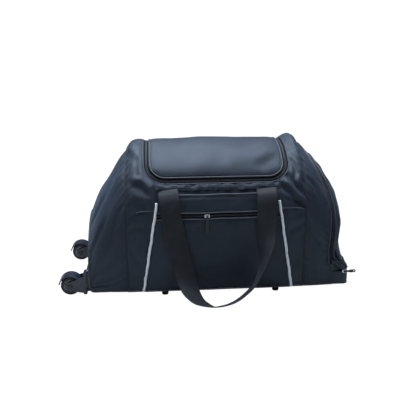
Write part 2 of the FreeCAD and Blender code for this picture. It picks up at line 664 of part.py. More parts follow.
# ---- everything ---------------------------------------------------------------------
def main():
    os.makedirs("parts", exist_ok=True)
    save("base_sheet", drill_base(make_base()))
    save("base_board", drill_base(make_board()))
    save("false_floor", rounded_box(-283, 295, -122, 122, FALSE_FLOOR, FALSE_FLOOR + 2, 12, AXIS_Z))
    for name, wall in make_middle_walls().items():
        save(name, wall)
    for name, wall in make_left_end().items():
        save(name, wall)
    for name, wall in make_right_end().items():
        save(name, wall)
    save("front_cuff", make_cuff(-1))
    save("rear_cuff", make_cuff(1))
    save("compartment_divider", make_divider())
    save("ball_cup_tray", make_tray())
    for name, shape in make_pocket().items():
        save(name, shape)
    save("left_white_piping", make_piping(-1))
    save("right_white_piping", make_piping(1))

    save("wheel_carrier", drill_base(make_carrier()))
    save("carrier_rivets", Part.makeCompound(make_rivets()))
    for name, y in (("front", -WHEEL_Y), ("rear", WHEEL_Y)):
        save(name + "_wheel_fork", make_fork(y))
        save(name + "_axle", make_axle(y))
        save(name + "_tyre", make_tyre(y))
        save(name + "_hub", make_hub(y))
    for name, (x, y) in FEET.items():
        save("foot_" + name, make_foot(x, y))
    save("foot_screws", Part.makeCompound(make_foot_screws()))

    save("outer_tubes", Part.makeCompound(tube_pair(OUTER_TUBE, *OUTER_TUBE_X)))
    save("middle_tubes", Part.makeCompound(tube_pair(MID_TUBE, *MID_TUBE_X)))
    save("inner_tubes", Part.makeCompound(tube_pair(INNER_TUBE, *INNER_TUBE_X)))
    save("tube_end_block", make_end_block())
    save("tube_clamp", make_clamp())
    save("handle_bezel", make_bezel())
    save("pull_grip", make_grip())
    save("release_button", make_button())

    save_sliders()

    handle = make_webbing()
    save("front_carry_handle", handle)
    rear = handle.copy()
    rear.rotate(V(0, 0, 0), AXIS_Z, 180)
    save("rear_carry_handle", rear)


main()
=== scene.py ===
# %% [markdown]
# # A rolling bowling bag, lesson in cells
# The bag is a domed duffel of black-navy polyester with a foam-backed wall. A wide lid zips
# open over two ball cups, a door zips open at one end for shoes, and two wheels stand at
# the other. Every length below is in millimetres until a mesh is made, then in metres.
# The engineering model is loaded first and stays fixed; each soft piece drawn here stands
# for one or more of its plain solids, and all but the handles and the soft hinge move with
# the same body.

# %% Load the fixed model
import json
import math

import bpy
import numpy as np
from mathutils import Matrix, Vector


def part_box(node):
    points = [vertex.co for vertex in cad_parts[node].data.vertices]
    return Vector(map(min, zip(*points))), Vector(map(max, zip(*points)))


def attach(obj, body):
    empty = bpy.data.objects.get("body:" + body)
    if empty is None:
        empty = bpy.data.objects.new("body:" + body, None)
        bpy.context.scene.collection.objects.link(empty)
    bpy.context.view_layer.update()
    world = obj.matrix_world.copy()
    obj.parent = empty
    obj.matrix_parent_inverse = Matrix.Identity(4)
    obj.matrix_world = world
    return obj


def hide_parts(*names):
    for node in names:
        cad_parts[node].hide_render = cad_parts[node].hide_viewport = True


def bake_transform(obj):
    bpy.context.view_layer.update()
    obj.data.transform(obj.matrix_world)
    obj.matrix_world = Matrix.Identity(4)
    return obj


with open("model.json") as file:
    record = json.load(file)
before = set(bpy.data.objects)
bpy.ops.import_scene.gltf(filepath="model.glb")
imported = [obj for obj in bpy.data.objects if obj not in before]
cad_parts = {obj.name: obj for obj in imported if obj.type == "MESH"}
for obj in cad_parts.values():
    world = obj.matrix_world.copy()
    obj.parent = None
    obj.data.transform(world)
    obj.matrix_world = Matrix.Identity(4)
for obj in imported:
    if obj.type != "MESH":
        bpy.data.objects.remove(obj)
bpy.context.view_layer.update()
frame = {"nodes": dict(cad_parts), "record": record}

# %% [markdown]
# ## Where the bag lies
# The frame's origin is under the middle of everything, wheels included. The bag itself is
# drawn about the middle of its lid, so one shift along X carries every drawn point into
# the frame.

# %% The shift
LID_LOW, LID_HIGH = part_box("lid_panel")
BAG_X = (LID_LOW.x + LID_HIGH.x) / 2 * 1000
print("bag middle", round(BAG_X, 2), "mm along X")


def metres(points):
    """Drawn points, in millimetres about the bag's middle, as points in the frame."""
    return (np.asarray(points, float) + (BAG_X, 0, 0)) / 1000


def metre_point(x, y, z):
    return tuple(metres((x, y, z)))


# %% [markdown]
# ## Shader maths in plain expressions
# A finish is a small recipe: noise, weave and stains added together. Written as Python
# sums it reads like one. `Signal` wraps a socket so that `1 - mask * 0.5` adds the Math
# nodes; `Recipe.node` makes any other node from its type, settings and inputs. A `Finish`
# is the recipe of one material.

# %% Signal and Finish
class Signal:
    def __init__(self, recipe, socket):
        self.recipe, self.socket = recipe, socket

    def maths(self, operation, *values):
        return self.recipe.node("ShaderNodeMath", {"operation": operation}, dict(enumerate(values)))

    def beside(self, output):
        """Another output of the same node."""
        return Signal(self.recipe, self.socket.node.outputs[output])

    def __add__(self, other):
        return self.maths("ADD", self, other)

    def __radd__(self, other):
        return self.maths("ADD", other, self)

    def __sub__(self, other):
        return self.maths("SUBTRACT", self, other)

    def __rsub__(self, other):
        return self.maths("SUBTRACT", other, self)

    def __mul__(self, other):
        return self.maths("MULTIPLY", self, other)

    def __rmul__(self, other):
        return self.maths("MULTIPLY", other, self)

    def sine(self):
        return self.maths("SINE", self)

    def size(self):
        return self.maths("ABSOLUTE", self)

    def clamped(self, low, high):
        """0 below low, 1 above high, and smooth between."""
        return self.recipe.node("ShaderNodeMapRange", {"interpolation_type": "SMOOTHSTEP"},
                                {0: self, 1: low, 2: high})


class Recipe:
    """The nodes of one material or sky."""

    def __init__(self, tree):
        self.nodes, self.links = tree.nodes, tree.links

    def plug(self, socket, value):
        if isinstance(value, Signal):
            self.links.new(value.socket, socket)
        else:
            socket.default_value = value

    def node(self, kind, settings, inputs, output=0):
        made = self.nodes.new(kind)
        for key, value in settings.items():
            setattr(made, key, value)
        for key, value in inputs.items():
            self.plug(made.inputs[key], value)
        return Signal(self, made.outputs[output])


class Finish(Recipe):
    """One material: a Principled shader with what it is fed."""

    def __init__(self, name, constants):
        self.material = bpy.data.materials.new(name)
        self.material.use_nodes = True
        super().__init__(self.material.node_tree)
        self.shader = self.nodes["Principled BSDF"]
        for socket, value in constants.items():
            self.shader.inputs[socket].default_value = value

    def mix(self, share, first, second):
        """A colour between two."""
        return self.node("ShaderNodeMix", {"data_type": "RGBA"}, {0: share, 6: first, 7: second}, 2)

    def noise(self, place, scale, detail=3.0, stretch=(1, 1, 1)):
        moved = self.node("ShaderNodeVectorMath", {"operation": "MULTIPLY"}, {0: place, 1: stretch})
        return self.node("ShaderNodeTexNoise", {}, {"Vector": moved, "Scale": scale, "Detail": detail})

    def cloth_place(self):
        """Place on the flat cloth, and its two directions apart, all in metres."""
        place = self.node("ShaderNodeUVMap", {"uv_map": "cloth"}, {})
        along = self.node("ShaderNodeSeparateXYZ", {}, {0: place})
        return place, along, along.beside(1)

    def solid_place(self):
        return self.node("ShaderNodeTexCoord", {}, {}, 3)

    def colour(self, value):
        self.plug(self.shader.inputs["Base Color"], value)

    def rough(self, value):
        self.plug(self.shader.inputs["Roughness"], value)

    def bump(self, height, strength, distance):
        normal = self.node("ShaderNodeBump", {}, {"Height": height, "Strength": strength,
                                                  "Distance": distance})
        self.plug(self.shader.inputs["Normal"], normal)


def tint(r, g, b):
    return (r, g, b, 1.0)


print("shader helpers ready")

# %% [markdown]
# ## Woven polyester
# The shell is heavy polyester cloth: thick yarns crossing over and under about once a
# millimetre, dyed nearly black with a cold cast. Close to, the yarns catch light one by
# one; far off they give a soft sheen on slopes that face the light. The weave is a sum of
# sines on the flat cloth's own metres, so it follows every panel, and slow noise makes the
# dye and the nap uneven. Pale patches are partly dust as on a handled bag and partly
# painted highlight blotches.

# %% Woven cloth
def woven(name, deep, pale, sheen, rough, yarn=0.0011, pile=0.00022):
    f = Finish(name, {"Sheen Weight": sheen, "Sheen Roughness": 0.45,
                      "Sheen Tint": tint(0.5, 0.68, 1.0), "Specular Tint": tint(0.78, 0.88, 1.0),
                      "Specular IOR Level": 0.42 if sheen else 0.1})
    place, along, across = f.cloth_place()
    turns = 2 * math.pi / yarn
    warp, weft = (along * turns).sine(), (across * turns).sine()
    over = (warp * weft).clamped(-0.25, 0.25)
    yarns = warp.size() * over + weft.size() * (1 - over)
    slub = f.noise(place, 900.0, 2.0, (1, 0.12, 1))
    clouds = f.noise(place, 22.0, 4.0)
    nap = f.noise(place, 190.0, 3.0)
    # Pale patches: partly dust as on a handled bag, partly painted highlight blotches.
    dust_and_highlight_mask = f.noise(place, 9.0, 5.0).clamped(0.52, 0.78)
    shade = clouds * 0.55 + slub * 0.25 + nap * 0.2
    cloth = f.mix(shade.clamped(0.3, 0.7), tint(*deep), tint(*pale))
    dust_and_highlight = f.mix(dust_and_highlight_mask * 0.3, cloth, tint(*(min(1.0, c * 1.9 + 0.004) for c in pale)))
    f.colour(f.mix(yarns.clamped(0.1, 0.9) * 0.35 + 0.65, tint(*(c * 0.45 for c in deep)), dust_and_highlight))
    f.rough(rough + nap * 0.14 - yarns * 0.06)
    f.bump(yarns * 0.7 + slub * 0.5 + nap * 0.5, 0.7, pile)
    return f.material


POLYESTER = woven("woven_polyester", (0.0085, 0.0112, 0.0175), (0.0165, 0.0215, 0.0325), 0.1, 0.52)
LINING = woven("lining_cloth", (0.012, 0.012, 0.014), (0.026, 0.026, 0.029), 0.05, 0.62,
               0.0006, 0.00008)
ZIP_TAPE = woven("zip_tape_knit", (0.0044, 0.0048, 0.0064), (0.0094, 0.0102, 0.0134), 0.0, 0.8,
                 0.0008, 0.0001)
print("cloths", POLYESTER.name, LINING.name, ZIP_TAPE.name)

# %% [markdown]
# ## Carry webbing
# Handle webbing is woven thick and flat, with herringbone ribs along its length and a hard
# selvedge at each edge. It is polypropylene, a warmer black than the cloth, and slightly
# shiny where hands polish it. The V of the ribs is a sine whose phase slides with the
# distance from the middle.

# %% Webbing
def webbing(name):
    f = Finish(name, {"Sheen Weight": 0.05, "Sheen Roughness": 0.5,
                      "Sheen Tint": tint(0.7, 0.76, 1.0), "Specular IOR Level": 0.3})
    place, along, across = f.cloth_place()
    fold = (across * (2 * math.pi / 0.0115)).sine() * 0.9
    rib = (along * (2 * math.pi / 0.0021) + fold * 2.0).sine()
    ridge = (across * (2 * math.pi / 0.0016)).sine()
    fuzz = f.noise(place, 700.0, 3.0)
    worn = f.noise(place, 35.0, 4.0).clamped(0.45, 0.8)
    yarns = rib * 0.3 + ridge * 0.2 + 0.5
    base = f.mix(yarns.clamped(0.1, 0.9), tint(0.0036, 0.0038, 0.0056), tint(0.0105, 0.011, 0.0158))
    f.colour(f.mix(worn * 0.35, base, tint(0.024, 0.026, 0.034)))
    f.rough(0.56 + fuzz * 0.2)
    f.bump(yarns + fuzz * 0.4, 0.8, 0.0003)
    return f.material


WEBBING = webbing("herringbone_webbing")
print("webbing", WEBBING.name)

# %% [markdown]
# ## Thread, piping and teeth
# White piping is a cord wrapped in bright nylon braid. Topstitching is bonded polyester
# thread, close in colour to the cloth. Zip teeth are one nylon coil, so they shine.

# %% Small finishes on cloth
def braid(name, deep, pale, rough, pitch=0.0014):
    f = Finish(name, {"Sheen Weight": 0.08, "Specular IOR Level": 0.4})
    place, along, across = f.cloth_place()
    turns = 2 * math.pi / pitch
    strands = (along * turns + across * turns).sine() * (along * turns - across * turns).sine()
    soil = f.noise(place, 40.0, 4.0).clamped(0.55, 0.85)
    shade = f.mix(strands.clamped(-0.8, 0.6), tint(*deep), tint(*pale))
    f.colour(f.mix(soil * 0.22, shade, tint(*(c * 0.62 for c in pale))))
    f.rough(rough + soil * 0.15)
    f.bump(strands * 0.5 + 0.5, 0.6, 0.00015)
    return f.material


WHITE_BRAID = braid("white_braid", (0.62, 0.63, 0.65), (0.88, 0.89, 0.92), 0.5)
THREAD = braid("topstitch_thread", (0.0095, 0.0112, 0.0155), (0.024, 0.028, 0.038), 0.46, 0.0006)
EDGE_CORD = braid("bound_edge", (0.014, 0.017, 0.023), (0.036, 0.042, 0.056), 0.5)
# A paler copy of the cloth for folded edges: a painted highlight along the fold.
FOLD_HIGHLIGHT = braid("turned_edge_painted_highlight", (0.03, 0.035, 0.048), (0.07, 0.08, 0.105), 0.5)
COIL = braid("nylon_coil", (0.0045, 0.0047, 0.006), (0.0125, 0.0132, 0.0165), 0.44, 0.0012)
# Nearly black cord for sunk seams: a painted shadow in the seam's valley.
SEAM_SHADOW = braid("painted_seam_shadow", (0.003, 0.0035, 0.005), (0.009, 0.0105, 0.0145), 0.7)
print("cords", WHITE_BRAID.name, THREAD.name, COIL.name)

# %% [markdown]
# ## Hard finishes
# Moulded plastics get a fine spark-eroded grain and a little scuffing. Metals are die-cast
# with a plated skin. The base is a sheet of embossed polyethylene. All read the part's own
# solid coordinates, because these pieces have no flat cloth to measure on.

# %% Hard materials
def moulded(name, deep, pale, rough, grain=2600.0, depth=0.00005):
    f = Finish(name, {"Specular IOR Level": 0.5})
    place = f.solid_place()
    fine = f.noise(place, grain, 2.0)
    clouds = f.noise(place, 60.0, 4.0)
    scuffs = f.noise(place, 260.0, 5.0, (1, 0.2, 1)).clamped(0.6, 0.78)
    base = f.mix(clouds.clamped(0.35, 0.65), tint(*deep), tint(*pale))
    f.colour(f.mix(scuffs * 0.4, base, tint(*(min(1.0, c * 1.5 + 0.01) for c in pale))))
    f.rough(rough + fine * 0.12 + scuffs * 0.15 - clouds * 0.08)
    f.bump(fine + scuffs * 0.3, 0.5, depth)
    return f.material


def brushed(name, deep, pale, rough, stretch=(1, 1, 1)):
    f = Finish(name, {"Metallic": 1.0})
    place = f.solid_place()
    lines = f.noise(place, 1800.0, 3.0, stretch)
    clouds = f.noise(place, 45.0, 3.0)
    f.colour(f.mix(lines * 0.6 + clouds * 0.4, tint(*deep), tint(*pale)))
    f.rough(rough + lines * 0.18 + clouds * 0.06)
    f.bump(lines, 0.4, 0.00003)
    return f.material


GREY_PLASTIC = moulded("grey_plastic", (0.009, 0.0112, 0.0195), (0.0195, 0.024, 0.038), 0.34)
BLACK_PLASTIC = moulded("black_plastic", (0.008, 0.008, 0.009), (0.018, 0.018, 0.021), 0.36)
BUTTON_PLASTIC = moulded("button_plastic", (0.05, 0.052, 0.058), (0.085, 0.088, 0.096), 0.3)
HUB_PLASTIC = moulded("hub_plastic", (0.1, 0.105, 0.12), (0.2, 0.21, 0.235), 0.26)
RUBBER = moulded("wheel_rubber", (0.006, 0.006, 0.007), (0.015, 0.015, 0.017), 0.52,
                 1200.0, 0.0001)
FOOT_RUBBER = moulded("foot_rubber", (0.007, 0.007, 0.008), (0.016, 0.016, 0.018), 0.6,
                      1500.0, 0.0001)
BASE_SHEET = moulded("embossed_base_sheet", (0.01, 0.011, 0.014), (0.02, 0.022, 0.028), 0.42,
                     700.0, 0.00025)
HARDBOARD = moulded("hardboard", (0.03, 0.021, 0.014), (0.058, 0.042, 0.029), 0.62, 900.0, 0.00012)
FOAM = moulded("closed_cell_foam", (0.022, 0.022, 0.024), (0.04, 0.04, 0.043), 0.85, 1500.0, 0.0003)
DARK_METAL = brushed("dark_nickel", (0.026, 0.026, 0.03), (0.062, 0.062, 0.07), 0.32)
ZIP_METAL = brushed("plated_zinc", (0.34, 0.34, 0.36), (0.6, 0.6, 0.62), 0.22)
ALUMINIUM = brushed("anodised_aluminium", (0.09, 0.093, 0.1), (0.19, 0.195, 0.205), 0.36,
                    (0.02, 1, 1))
print("finishes made", len(bpy.data.materials))

# %% [markdown]
# ## Making meshes
# Most pieces are a sheet: a grid of points with a cloth thickness behind it. The sheet is
# closed by hand, outer face, inner face and rim, because then the mesh is final and can be
# bent between two bodies. The UV map `cloth` holds true metres along the rows and columns.

# %% Sheet meshes
def unit(vectors):
    return vectors / np.maximum(np.linalg.norm(vectors, axis=-1, keepdims=True), 1e-9)


def slopes(points, closed):
    """Unit normals of a grid of points, rows by columns."""
    if closed:
        padded = np.concatenate([points[:, -2:-1], points, points[:, 1:2]], axis=1)
        across = np.gradient(padded, axis=1)[:, 1:-1]
    else:
        across = np.gradient(points, axis=1)
    return unit(np.cross(np.gradient(points, axis=0), across))


def run_lengths(points, axis):
    """Distance along the grid from its middle line, in metres."""
    steps = np.linalg.norm(np.diff(points, axis=axis), axis=2)
    total = np.insert(np.cumsum(steps, axis=axis), 0, 0, axis=axis)
    middle = np.take(total, [total.shape[axis] // 2], axis=axis)
    return (total - middle) / 1000


def add_object(name, data):
    made = bpy.data.objects.new(name, data)
    bpy.context.scene.collection.objects.link(made)
    return made


def finish_mesh(name, vertices, faces, cloth, materials, indices, sharp=None):
    """A mesh with its cloth map; edges within one group of `sharp` stay hard."""
    mesh = bpy.data.meshes.new(name)
    mesh.from_pydata(metres(vertices).tolist(), [], faces)
    layer = mesh.uv_layers.new(name="cloth")
    loops = np.zeros(len(mesh.loops), np.int32)
    mesh.loops.foreach_get("vertex_index", loops)
    layer.data.foreach_set("uv", np.asarray(cloth, np.float32)[loops].ravel())
    for material in materials:
        mesh.materials.append(material)
    mesh.polygons.foreach_set("material_index", np.asarray(indices, np.int32))
    mesh.polygons.foreach_set("use_smooth", np.ones(len(faces), bool))
    if sharp is not None:
        ends = np.zeros(len(mesh.edges) * 2, np.int32)
        mesh.edges.foreach_get("vertices", ends)
        group = np.asarray(sharp)[ends.reshape(-1, 2)]
        hard = (group[:, 0] > 0) & (group[:, 0] == group[:, 1])
        mesh.attributes.new("sharp_edge", "BOOLEAN", "EDGE").data.foreach_set("value", hard)
    mesh.update()
    return add_object(name, mesh)


def sheet_piece(name, points, thickness, face, back, outward=1, closed=False, cloth=None):
    """A closed sheet of cloth from a grid of its outer points."""
    points = np.asarray(points, float)
    rows, columns = points.shape[:2]
    behind = points - slopes(points, closed) * outward * thickness
    if closed:
        points, behind, columns = points[:, :-1], behind[:, :-1], columns - 1
    if cloth is None:
        cloth = np.stack([run_lengths(points, 1), run_lengths(points, 0)], axis=2)
    elif closed:
        cloth = cloth[:, :-1]
    number = np.arange(rows * columns).reshape(rows, columns)
    wide = number if not closed else np.concatenate([number, number[:, :1]], axis=1)
    quads = np.stack([wide[:-1, :-1], wide[1:, :-1], wide[1:, 1:], wide[:-1, 1:]], axis=-1)
    quads = quads.reshape(-1, 4)
    if outward < 0:
        quads = quads[:, ::-1]
    count = rows * columns
    lines = [wide[0], wide[-1][::-1]]
    if not closed:
        lines += [number[::-1, 0], number[:, -1]]
    rim = []
    for line in lines:
        a, b = line[:-1], line[1:]
        quad = np.stack([a, b, b + count, a + count], axis=-1)
        rim.append(quad if outward > 0 else quad[:, ::-1])
    rim = np.concatenate(rim)
    faces = np.concatenate([quads, quads[:, ::-1] + count, rim])
    marks = np.zeros((rows, columns), int)
    marks[0], marks[-1] = 1, 1
    if not closed:
        marks[:, 0], marks[:, -1] = 1, 1
    marks = np.concatenate([marks.ravel(), marks.ravel() * 2])
    indices = [0] * len(quads) + [1] * len(quads) + [0] * len(rim)
    vertices = np.concatenate([points.reshape(-1, 3), behind.reshape(-1, 3)])
    flat = np.asarray(cloth).reshape(-1, 2)
    piece = finish_mesh(name, vertices, faces.tolist(), np.concatenate([flat, flat]),
                        [face, back], indices, marks)
    print(name, len(vertices), "points")
    return piece


# %% [markdown]
# Cords, piping and zip coils are tubes along a line. The ring is carried along the line
# without twisting, and its radius may change from point to point, which is all that a
# coil of teeth needs to read as teeth.

# %% Tube meshes
def distances(path):
    """Distance along a line at each of its points."""
    return np.insert(np.cumsum(np.linalg.norm(np.diff(path, axis=0), axis=1)), 0, 0)


def tube_points(path, radius, sides):
    along = unit(np.gradient(path, axis=0))
    side = np.zeros_like(path)
    start = np.array((0.0, 0.0, 1.0)) if abs(along[0][2]) < 0.9 else np.array((0.0, 1.0, 0.0))
    held = np.cross(along[0], start)
    for i, way in enumerate(along):
        held = held - way * held.dot(way)
        held /= np.linalg.norm(held)
        side[i] = held
    up = np.cross(along, side)
    turn = np.linspace(0, 2 * math.pi, sides, endpoint=False)
    radius = np.broadcast_to(radius, (len(path),))[:, None, None]
    ring = side[:, None] * np.cos(turn)[None, :, None] + up[:, None] * np.sin(turn)[None, :, None]
    return path[:, None] + ring * radius


def ring_faces(rows, sides):
    """Faces of a row of rings, with a cap at each end."""
    number = np.arange(rows * sides).reshape(rows, sides)
    wrap = np.concatenate([number, number[:, :1]], axis=1)
    quads = np.stack([wrap[:-1, :-1], wrap[:-1, 1:], wrap[1:, 1:], wrap[1:, :-1]], axis=-1)
    return quads.reshape(-1, 4).tolist() + [number[0][::-1].tolist(), number[-1].tolist()]


def tube_mesh(path, radius, sides=10):
    """Vertices, faces and cloth metres of one tube."""
    rings = tube_points(path, radius, sides)
    length = distances(path) / 1000
    around = np.arange(sides) / sides * 2 * math.pi * float(np.mean(radius)) / 1000
    cloth = np.stack(np.broadcast_arrays(length[:, None], around[None, :]), axis=-1)
    return rings.reshape(-1, 3), ring_faces(len(rings), sides), cloth.reshape(-1, 2)


def joined_piece(name, parts, material):
    """Several small meshes as one piece."""
    vertices, faces, cloth, start = [], [], [], 0
    for points, some, flat in parts:
        vertices.append(points)
        cloth.append(flat)
        faces += [[i + start for i in face] for face in some]
        start += len(points)
    piece = finish_mesh(name, np.concatenate(vertices), faces, np.concatenate(cloth),
                        [material], [0] * len(faces))
    print(name, start, "points")
    return piece


def even_line(path, step):
    """The same line with points at equal distances."""
    path = np.asarray(path, float)
    length = distances(path)
    marks = np.linspace(0, length[-1], max(2, int(round(length[-1] / step)) + 1))
    return np.stack([np.interp(marks, length, path[:, i]) for i in range(3)], axis=1)


def coil_mesh(path, radius=1.1, pitch=1.9):
    """A zip's nylon coil: a tube that swells once a tooth."""
    line = even_line(path, pitch / 4)
    beat = np.abs(np.sin(np.arange(len(line)) * math.pi / 4))
    return tube_mesh(line, radius * (0.62 + 0.38 * beat), 8)


# %% [markdown]
# Topstitching is drawn stitch by stitch: a short thread that dives into the cloth at both
# ends. A seam with no stitches beside it looks moulded, and this is the cheapest cure.

# %% Stitches
def stitch_row(line, pitch=3.6, length=2.7, radius=0.38):
    """Threads along a line, thick in the middle and thin where they dive in."""
    marks = even_line(line, pitch)
    share = np.array((-0.5, -0.32, 0.32, 0.5))[:, None]
    thick = radius * np.array((0.25, 1, 1, 0.25))
    return [tube_mesh(point + way * share * length, thick, 5)
            for point, way in zip(marks, unit(np.gradient(marks, axis=0)))]


print("mesh helpers ready")

# %% [markdown]
# ## The dome as one skin
# Every wall of the bag lies on one surface: upright sides that roll into a half round, low
# at the wheels, tallest over the lid and falling again to the end door. A point on it is
# given by `x` along the bag and `s`, the cloth distance up from the front shoulder line:
# below zero is the front side, 0 to 462 goes over the top, and beyond is the rear side.
# Panels, seams, zips and stitches all use the same two numbers, so that they meet.

# %% The skin
FLOOR = 14.0
SIDE = 177.0
QUARTER = 231.0
ROUND = 2 * QUARTER
SECTIONS = np.array([
    (-310, 126, 134), (-296, 131, 165), (-290, 135, 178), (-270, 140, 218), (-246, 143, 252),
    (-226, 145, 290), (-208, 146, 315), (-180, 147, 338), (185, 147, 338), (200, 147, 333),
    (238, 146, 300), (262, 144, 274), (282, 143, 246), (298, 143, 212), (322, 143, 190),
    (345, 143, 175)])


def girth(x):
    """Half depth and crown height of the section at x, its corners softened."""
    x = np.asarray(x, float)
    parts = [(np.interp(x + d, SECTIONS[:, 0], SECTIONS[:, 1]),
              np.interp(x + d, SECTIONS[:, 0], SECTIONS[:, 2])) for d in (-8, -4, 0, 4, 8)]
    return sum(p[0] for p in parts) / 5, sum(p[1] for p in parts) / 5


def dome(x, s):
    """Points of the bare skin."""
    x, s = np.broadcast_arrays(np.asarray(x, float), np.asarray(s, float))
    half, crown = girth(x)
    spring = crown - half
    turn = np.clip(s / QUARTER, 0, 2) * math.pi / 2
    share = np.where(s < 0, np.clip(1 + s / SIDE, 0, 1), np.clip(1 - (s - ROUND) / SIDE, 0, 1))
    upright = (s < 0) | (s > ROUND)
    z = np.where(upright, FLOOR + (spring - FLOOR) * share, spring + half * np.sin(turn))
    return np.stack([x, -half * np.cos(turn), z], axis=-1)


def outward(x, s):
    """Unit normals of the skin."""
    s = np.clip(s, 1 - SIDE, ROUND + SIDE - 1)
    return unit(np.cross(dome(x + 0.5, s) - dome(x - 0.5, s), dome(x, s + 0.5) - dome(x, s - 0.5)))


def lifted(x, s, lift):
    """Points at a height above the skin."""
    x, s, lift = np.broadcast_arrays(*(np.asarray(v, float) for v in (x, s, lift)))
    return dome(x, s) + outward(x, s) * lift[..., None]


def flat_cloth(a, b):
    """Cloth map of a sheet from its two drawn lengths."""
    return np.stack([a, b], axis=-1) / 1000


print("crown over the lid", round(float(dome(0.0, QUARTER)[2]), 1), "mm")

# %% [markdown]
# ## How the cloth moves
# Sewn cloth is never smooth. Between seams it swells a little, at a seam it is pulled
# down, and along a seam it gathers. Three helpers give this: `swell` from the distance to
# a seam, `ripples` for slow unevenness, and `crease` for a fold from a list, with a ridge
# beside its valley as real folds have.

# %% Swell, ripples and creases
def swell(distance, height, reach=14.0):
    """Cloth that rises away from a seam and levels off."""
    return height * (1 - np.exp(-np.maximum(distance, 0) / reach))


WAVES = 16


def ripples(a, b, seed, longest, shortest):
    """Slow unevenness: a sum of waves in all directions."""
    random = np.random.default_rng(seed)
    total = np.zeros(np.broadcast(a, b).shape)
    for _ in range(WAVES):
        wave = longest * (shortest / longest) ** random.random()
        turn, start = random.random(2) * 2 * math.pi
        total = total + wave / longest * np.sin(
            (a * math.cos(turn) + b * math.sin(turn)) * 2 * math.pi / wave + start)
    return total * 1.6 / math.sqrt(WAVES)


def crease(a, b, start, end, width, depth):
    """A fold from start to end: a valley with a softer ridge on one side."""
    (a0, b0), (a1, b1) = start, end
    length = math.hypot(a1 - a0, b1 - b0)
    way = ((a1 - a0) / length, (b1 - b0) / length)
    along = (a - a0) * way[0] + (b - b0) * way[1]
    bow = math.sin(a0 * 0.7 + b0) * 0.12 * length
    middle = along / length - 0.5
    across = ((b - b0) * way[0] - (a - a0) * way[1]) / width - bow / width * (0.25 - middle ** 2) * 4
    past = np.maximum(np.abs(middle) - 0.32, 0) * length / (0.22 * length + width)
    fade = np.exp(-past ** 2 * 3)
    return depth * fade * (0.55 * np.exp(-(across - 1.7) ** 2 / 1.3) - np.exp(-across ** 2))


def creased(lift, a, b, folds, share=1.0):
    """A lift with a list of folds laid into it."""
    for start, end, width, depth in folds:
        lift = lift + crease(a, b, start, end, width, depth) * share
    return lift


def gathers(a, distance, seed, height=0.9, reach=13.0, pitch=19.0):
    """Small puckers along a seam, fading with the distance from it."""
    beat = np.sin(a * 2 * math.pi / pitch + 1.7 * np.sin(a / 31.0 + seed) + seed)
    return height * beat * np.exp(-np.maximum(distance, 0) / reach)


print("cloth helpers ready")

# %% [markdown]
# ## Seam lines of the lid
# The lid is cut with two round front corners and ends at a hinge line behind the crown. Its
# outline, grown by the width of the zip, is the edge of the opening in the shell. Working
# out the front edge as a function of x keeps every zip part on the same curve.

# %% Lid outline
LID_X = 152.0
LID_FRONT = 34.5 / 90 * QUARTER
LID_HINGE = 128 / 90 * QUARTER
LID_ROUND = 35.0
HINGE_GAP = 2.5             # from the hinge line to the foam on either side
ZIP_BAND = 14.6             # width of the zip between the lid and the opening's edge
SIDE_POINTS, CORNER_POINTS = 60, 14


def lid_front(x, grow=0.0):
    """Cloth distance of the lid's front edge at x, for the outline grown by a margin."""
    round_r = LID_ROUND + grow
    past = np.clip((np.abs(x) - (LID_X + grow - round_r)) / round_r, 0, 1)
    return LID_FRONT - grow + round_r * (1 - np.sqrt(np.maximum(1 - past ** 2, 0)))


def lid_edge(grow):
    """The outline from the left end of the hinge, round the front, to the right end."""
    half, r = LID_X + grow, LID_ROUND + grow
    turn = np.linspace(0, math.pi / 2, CORNER_POINTS)
    corner_x, corner_s = half - r + r * np.cos(turn), LID_FRONT - grow + r - r * np.sin(turn)
    up = np.linspace(LID_HINGE, LID_FRONT - grow + r, SIDE_POINTS)[:-1]
    flat = np.linspace(-(half - r), half - r, SIDE_POINTS)[1:-1]
    xs = np.concatenate([np.full(len(up), -half), -corner_x, flat, corner_x[::-1],
                         np.full(len(up), half)])
    ss = np.concatenate([up, corner_s, np.full(len(flat), LID_FRONT - grow), corner_s[::-1],
                         up[::-1]])
    return xs, ss


print("lid opening", 2 * (LID_X + ZIP_BAND), "mm wide")

# %% [markdown]
# ## Upper shell
# One piece of foam-backed cloth runs over both shoulders and round the lid's opening. It
# could be four panels, but a ring of quads from the opening's edge out to the seams keeps
# the folds running from one into the next. The right shoulder stands up in a slack fold
# above the lid, and its front is creased by the pull of the handle.

# %% Shell folds
LEFT_SEAM, RIGHT_SEAM = -208.0, 200.0
SHELL_FOOT, SHELL_BACK = 15.0, ROUND - 15.0
SHELL_CREASES = [
    ((142, 70), (196, 16), 7.0, 7.0), ((158, 96), (195, 48), 6.5, 5.0),
    ((172, 132), (174, 76), 5.5, 4.0), ((150, 38), (190, 32), 5.0, 3.6),
    ((168, 190), (192, 120), 7.0, 2.6), ((186, 96), (198, 60), 4.5, 1.8),
    ((-198, 92), (-164, 68), 5.5, 2.8), ((-204, 48), (-160, 30), 6.0, 2.8),
    ((-192, 78), (-154, 50), 8.0, 5.0), ((-172, 150), (-176, 88), 5.0, 2.2),
    ((-204, 190), (-178, 130), 6.5, 2.4), ((-196, 232), (-176, 206), 6.0, 2.0),
    ((-206, 300), (-172, 350), 7.0, 2.4),
    ((170, 300), (196, 360), 7.0, 2.6), ((-60, 352), (70, 346), 8.0, 1.6),
    ((-120, 400), (-20, 384), 9.0, 2.0), ((40, 404), (140, 390), 9.0, 2.0),
    ((-150, 64), (-118, 58), 4.0, 1.6), ((118, 60), (146, 72), 4.0, 1.8)]

SHOULDER_PUFFS = [(186, 236, 12.5, 84, 9.0), (-190, 222, 12.0, 80, 5.0)]   # x, s, spreads, height


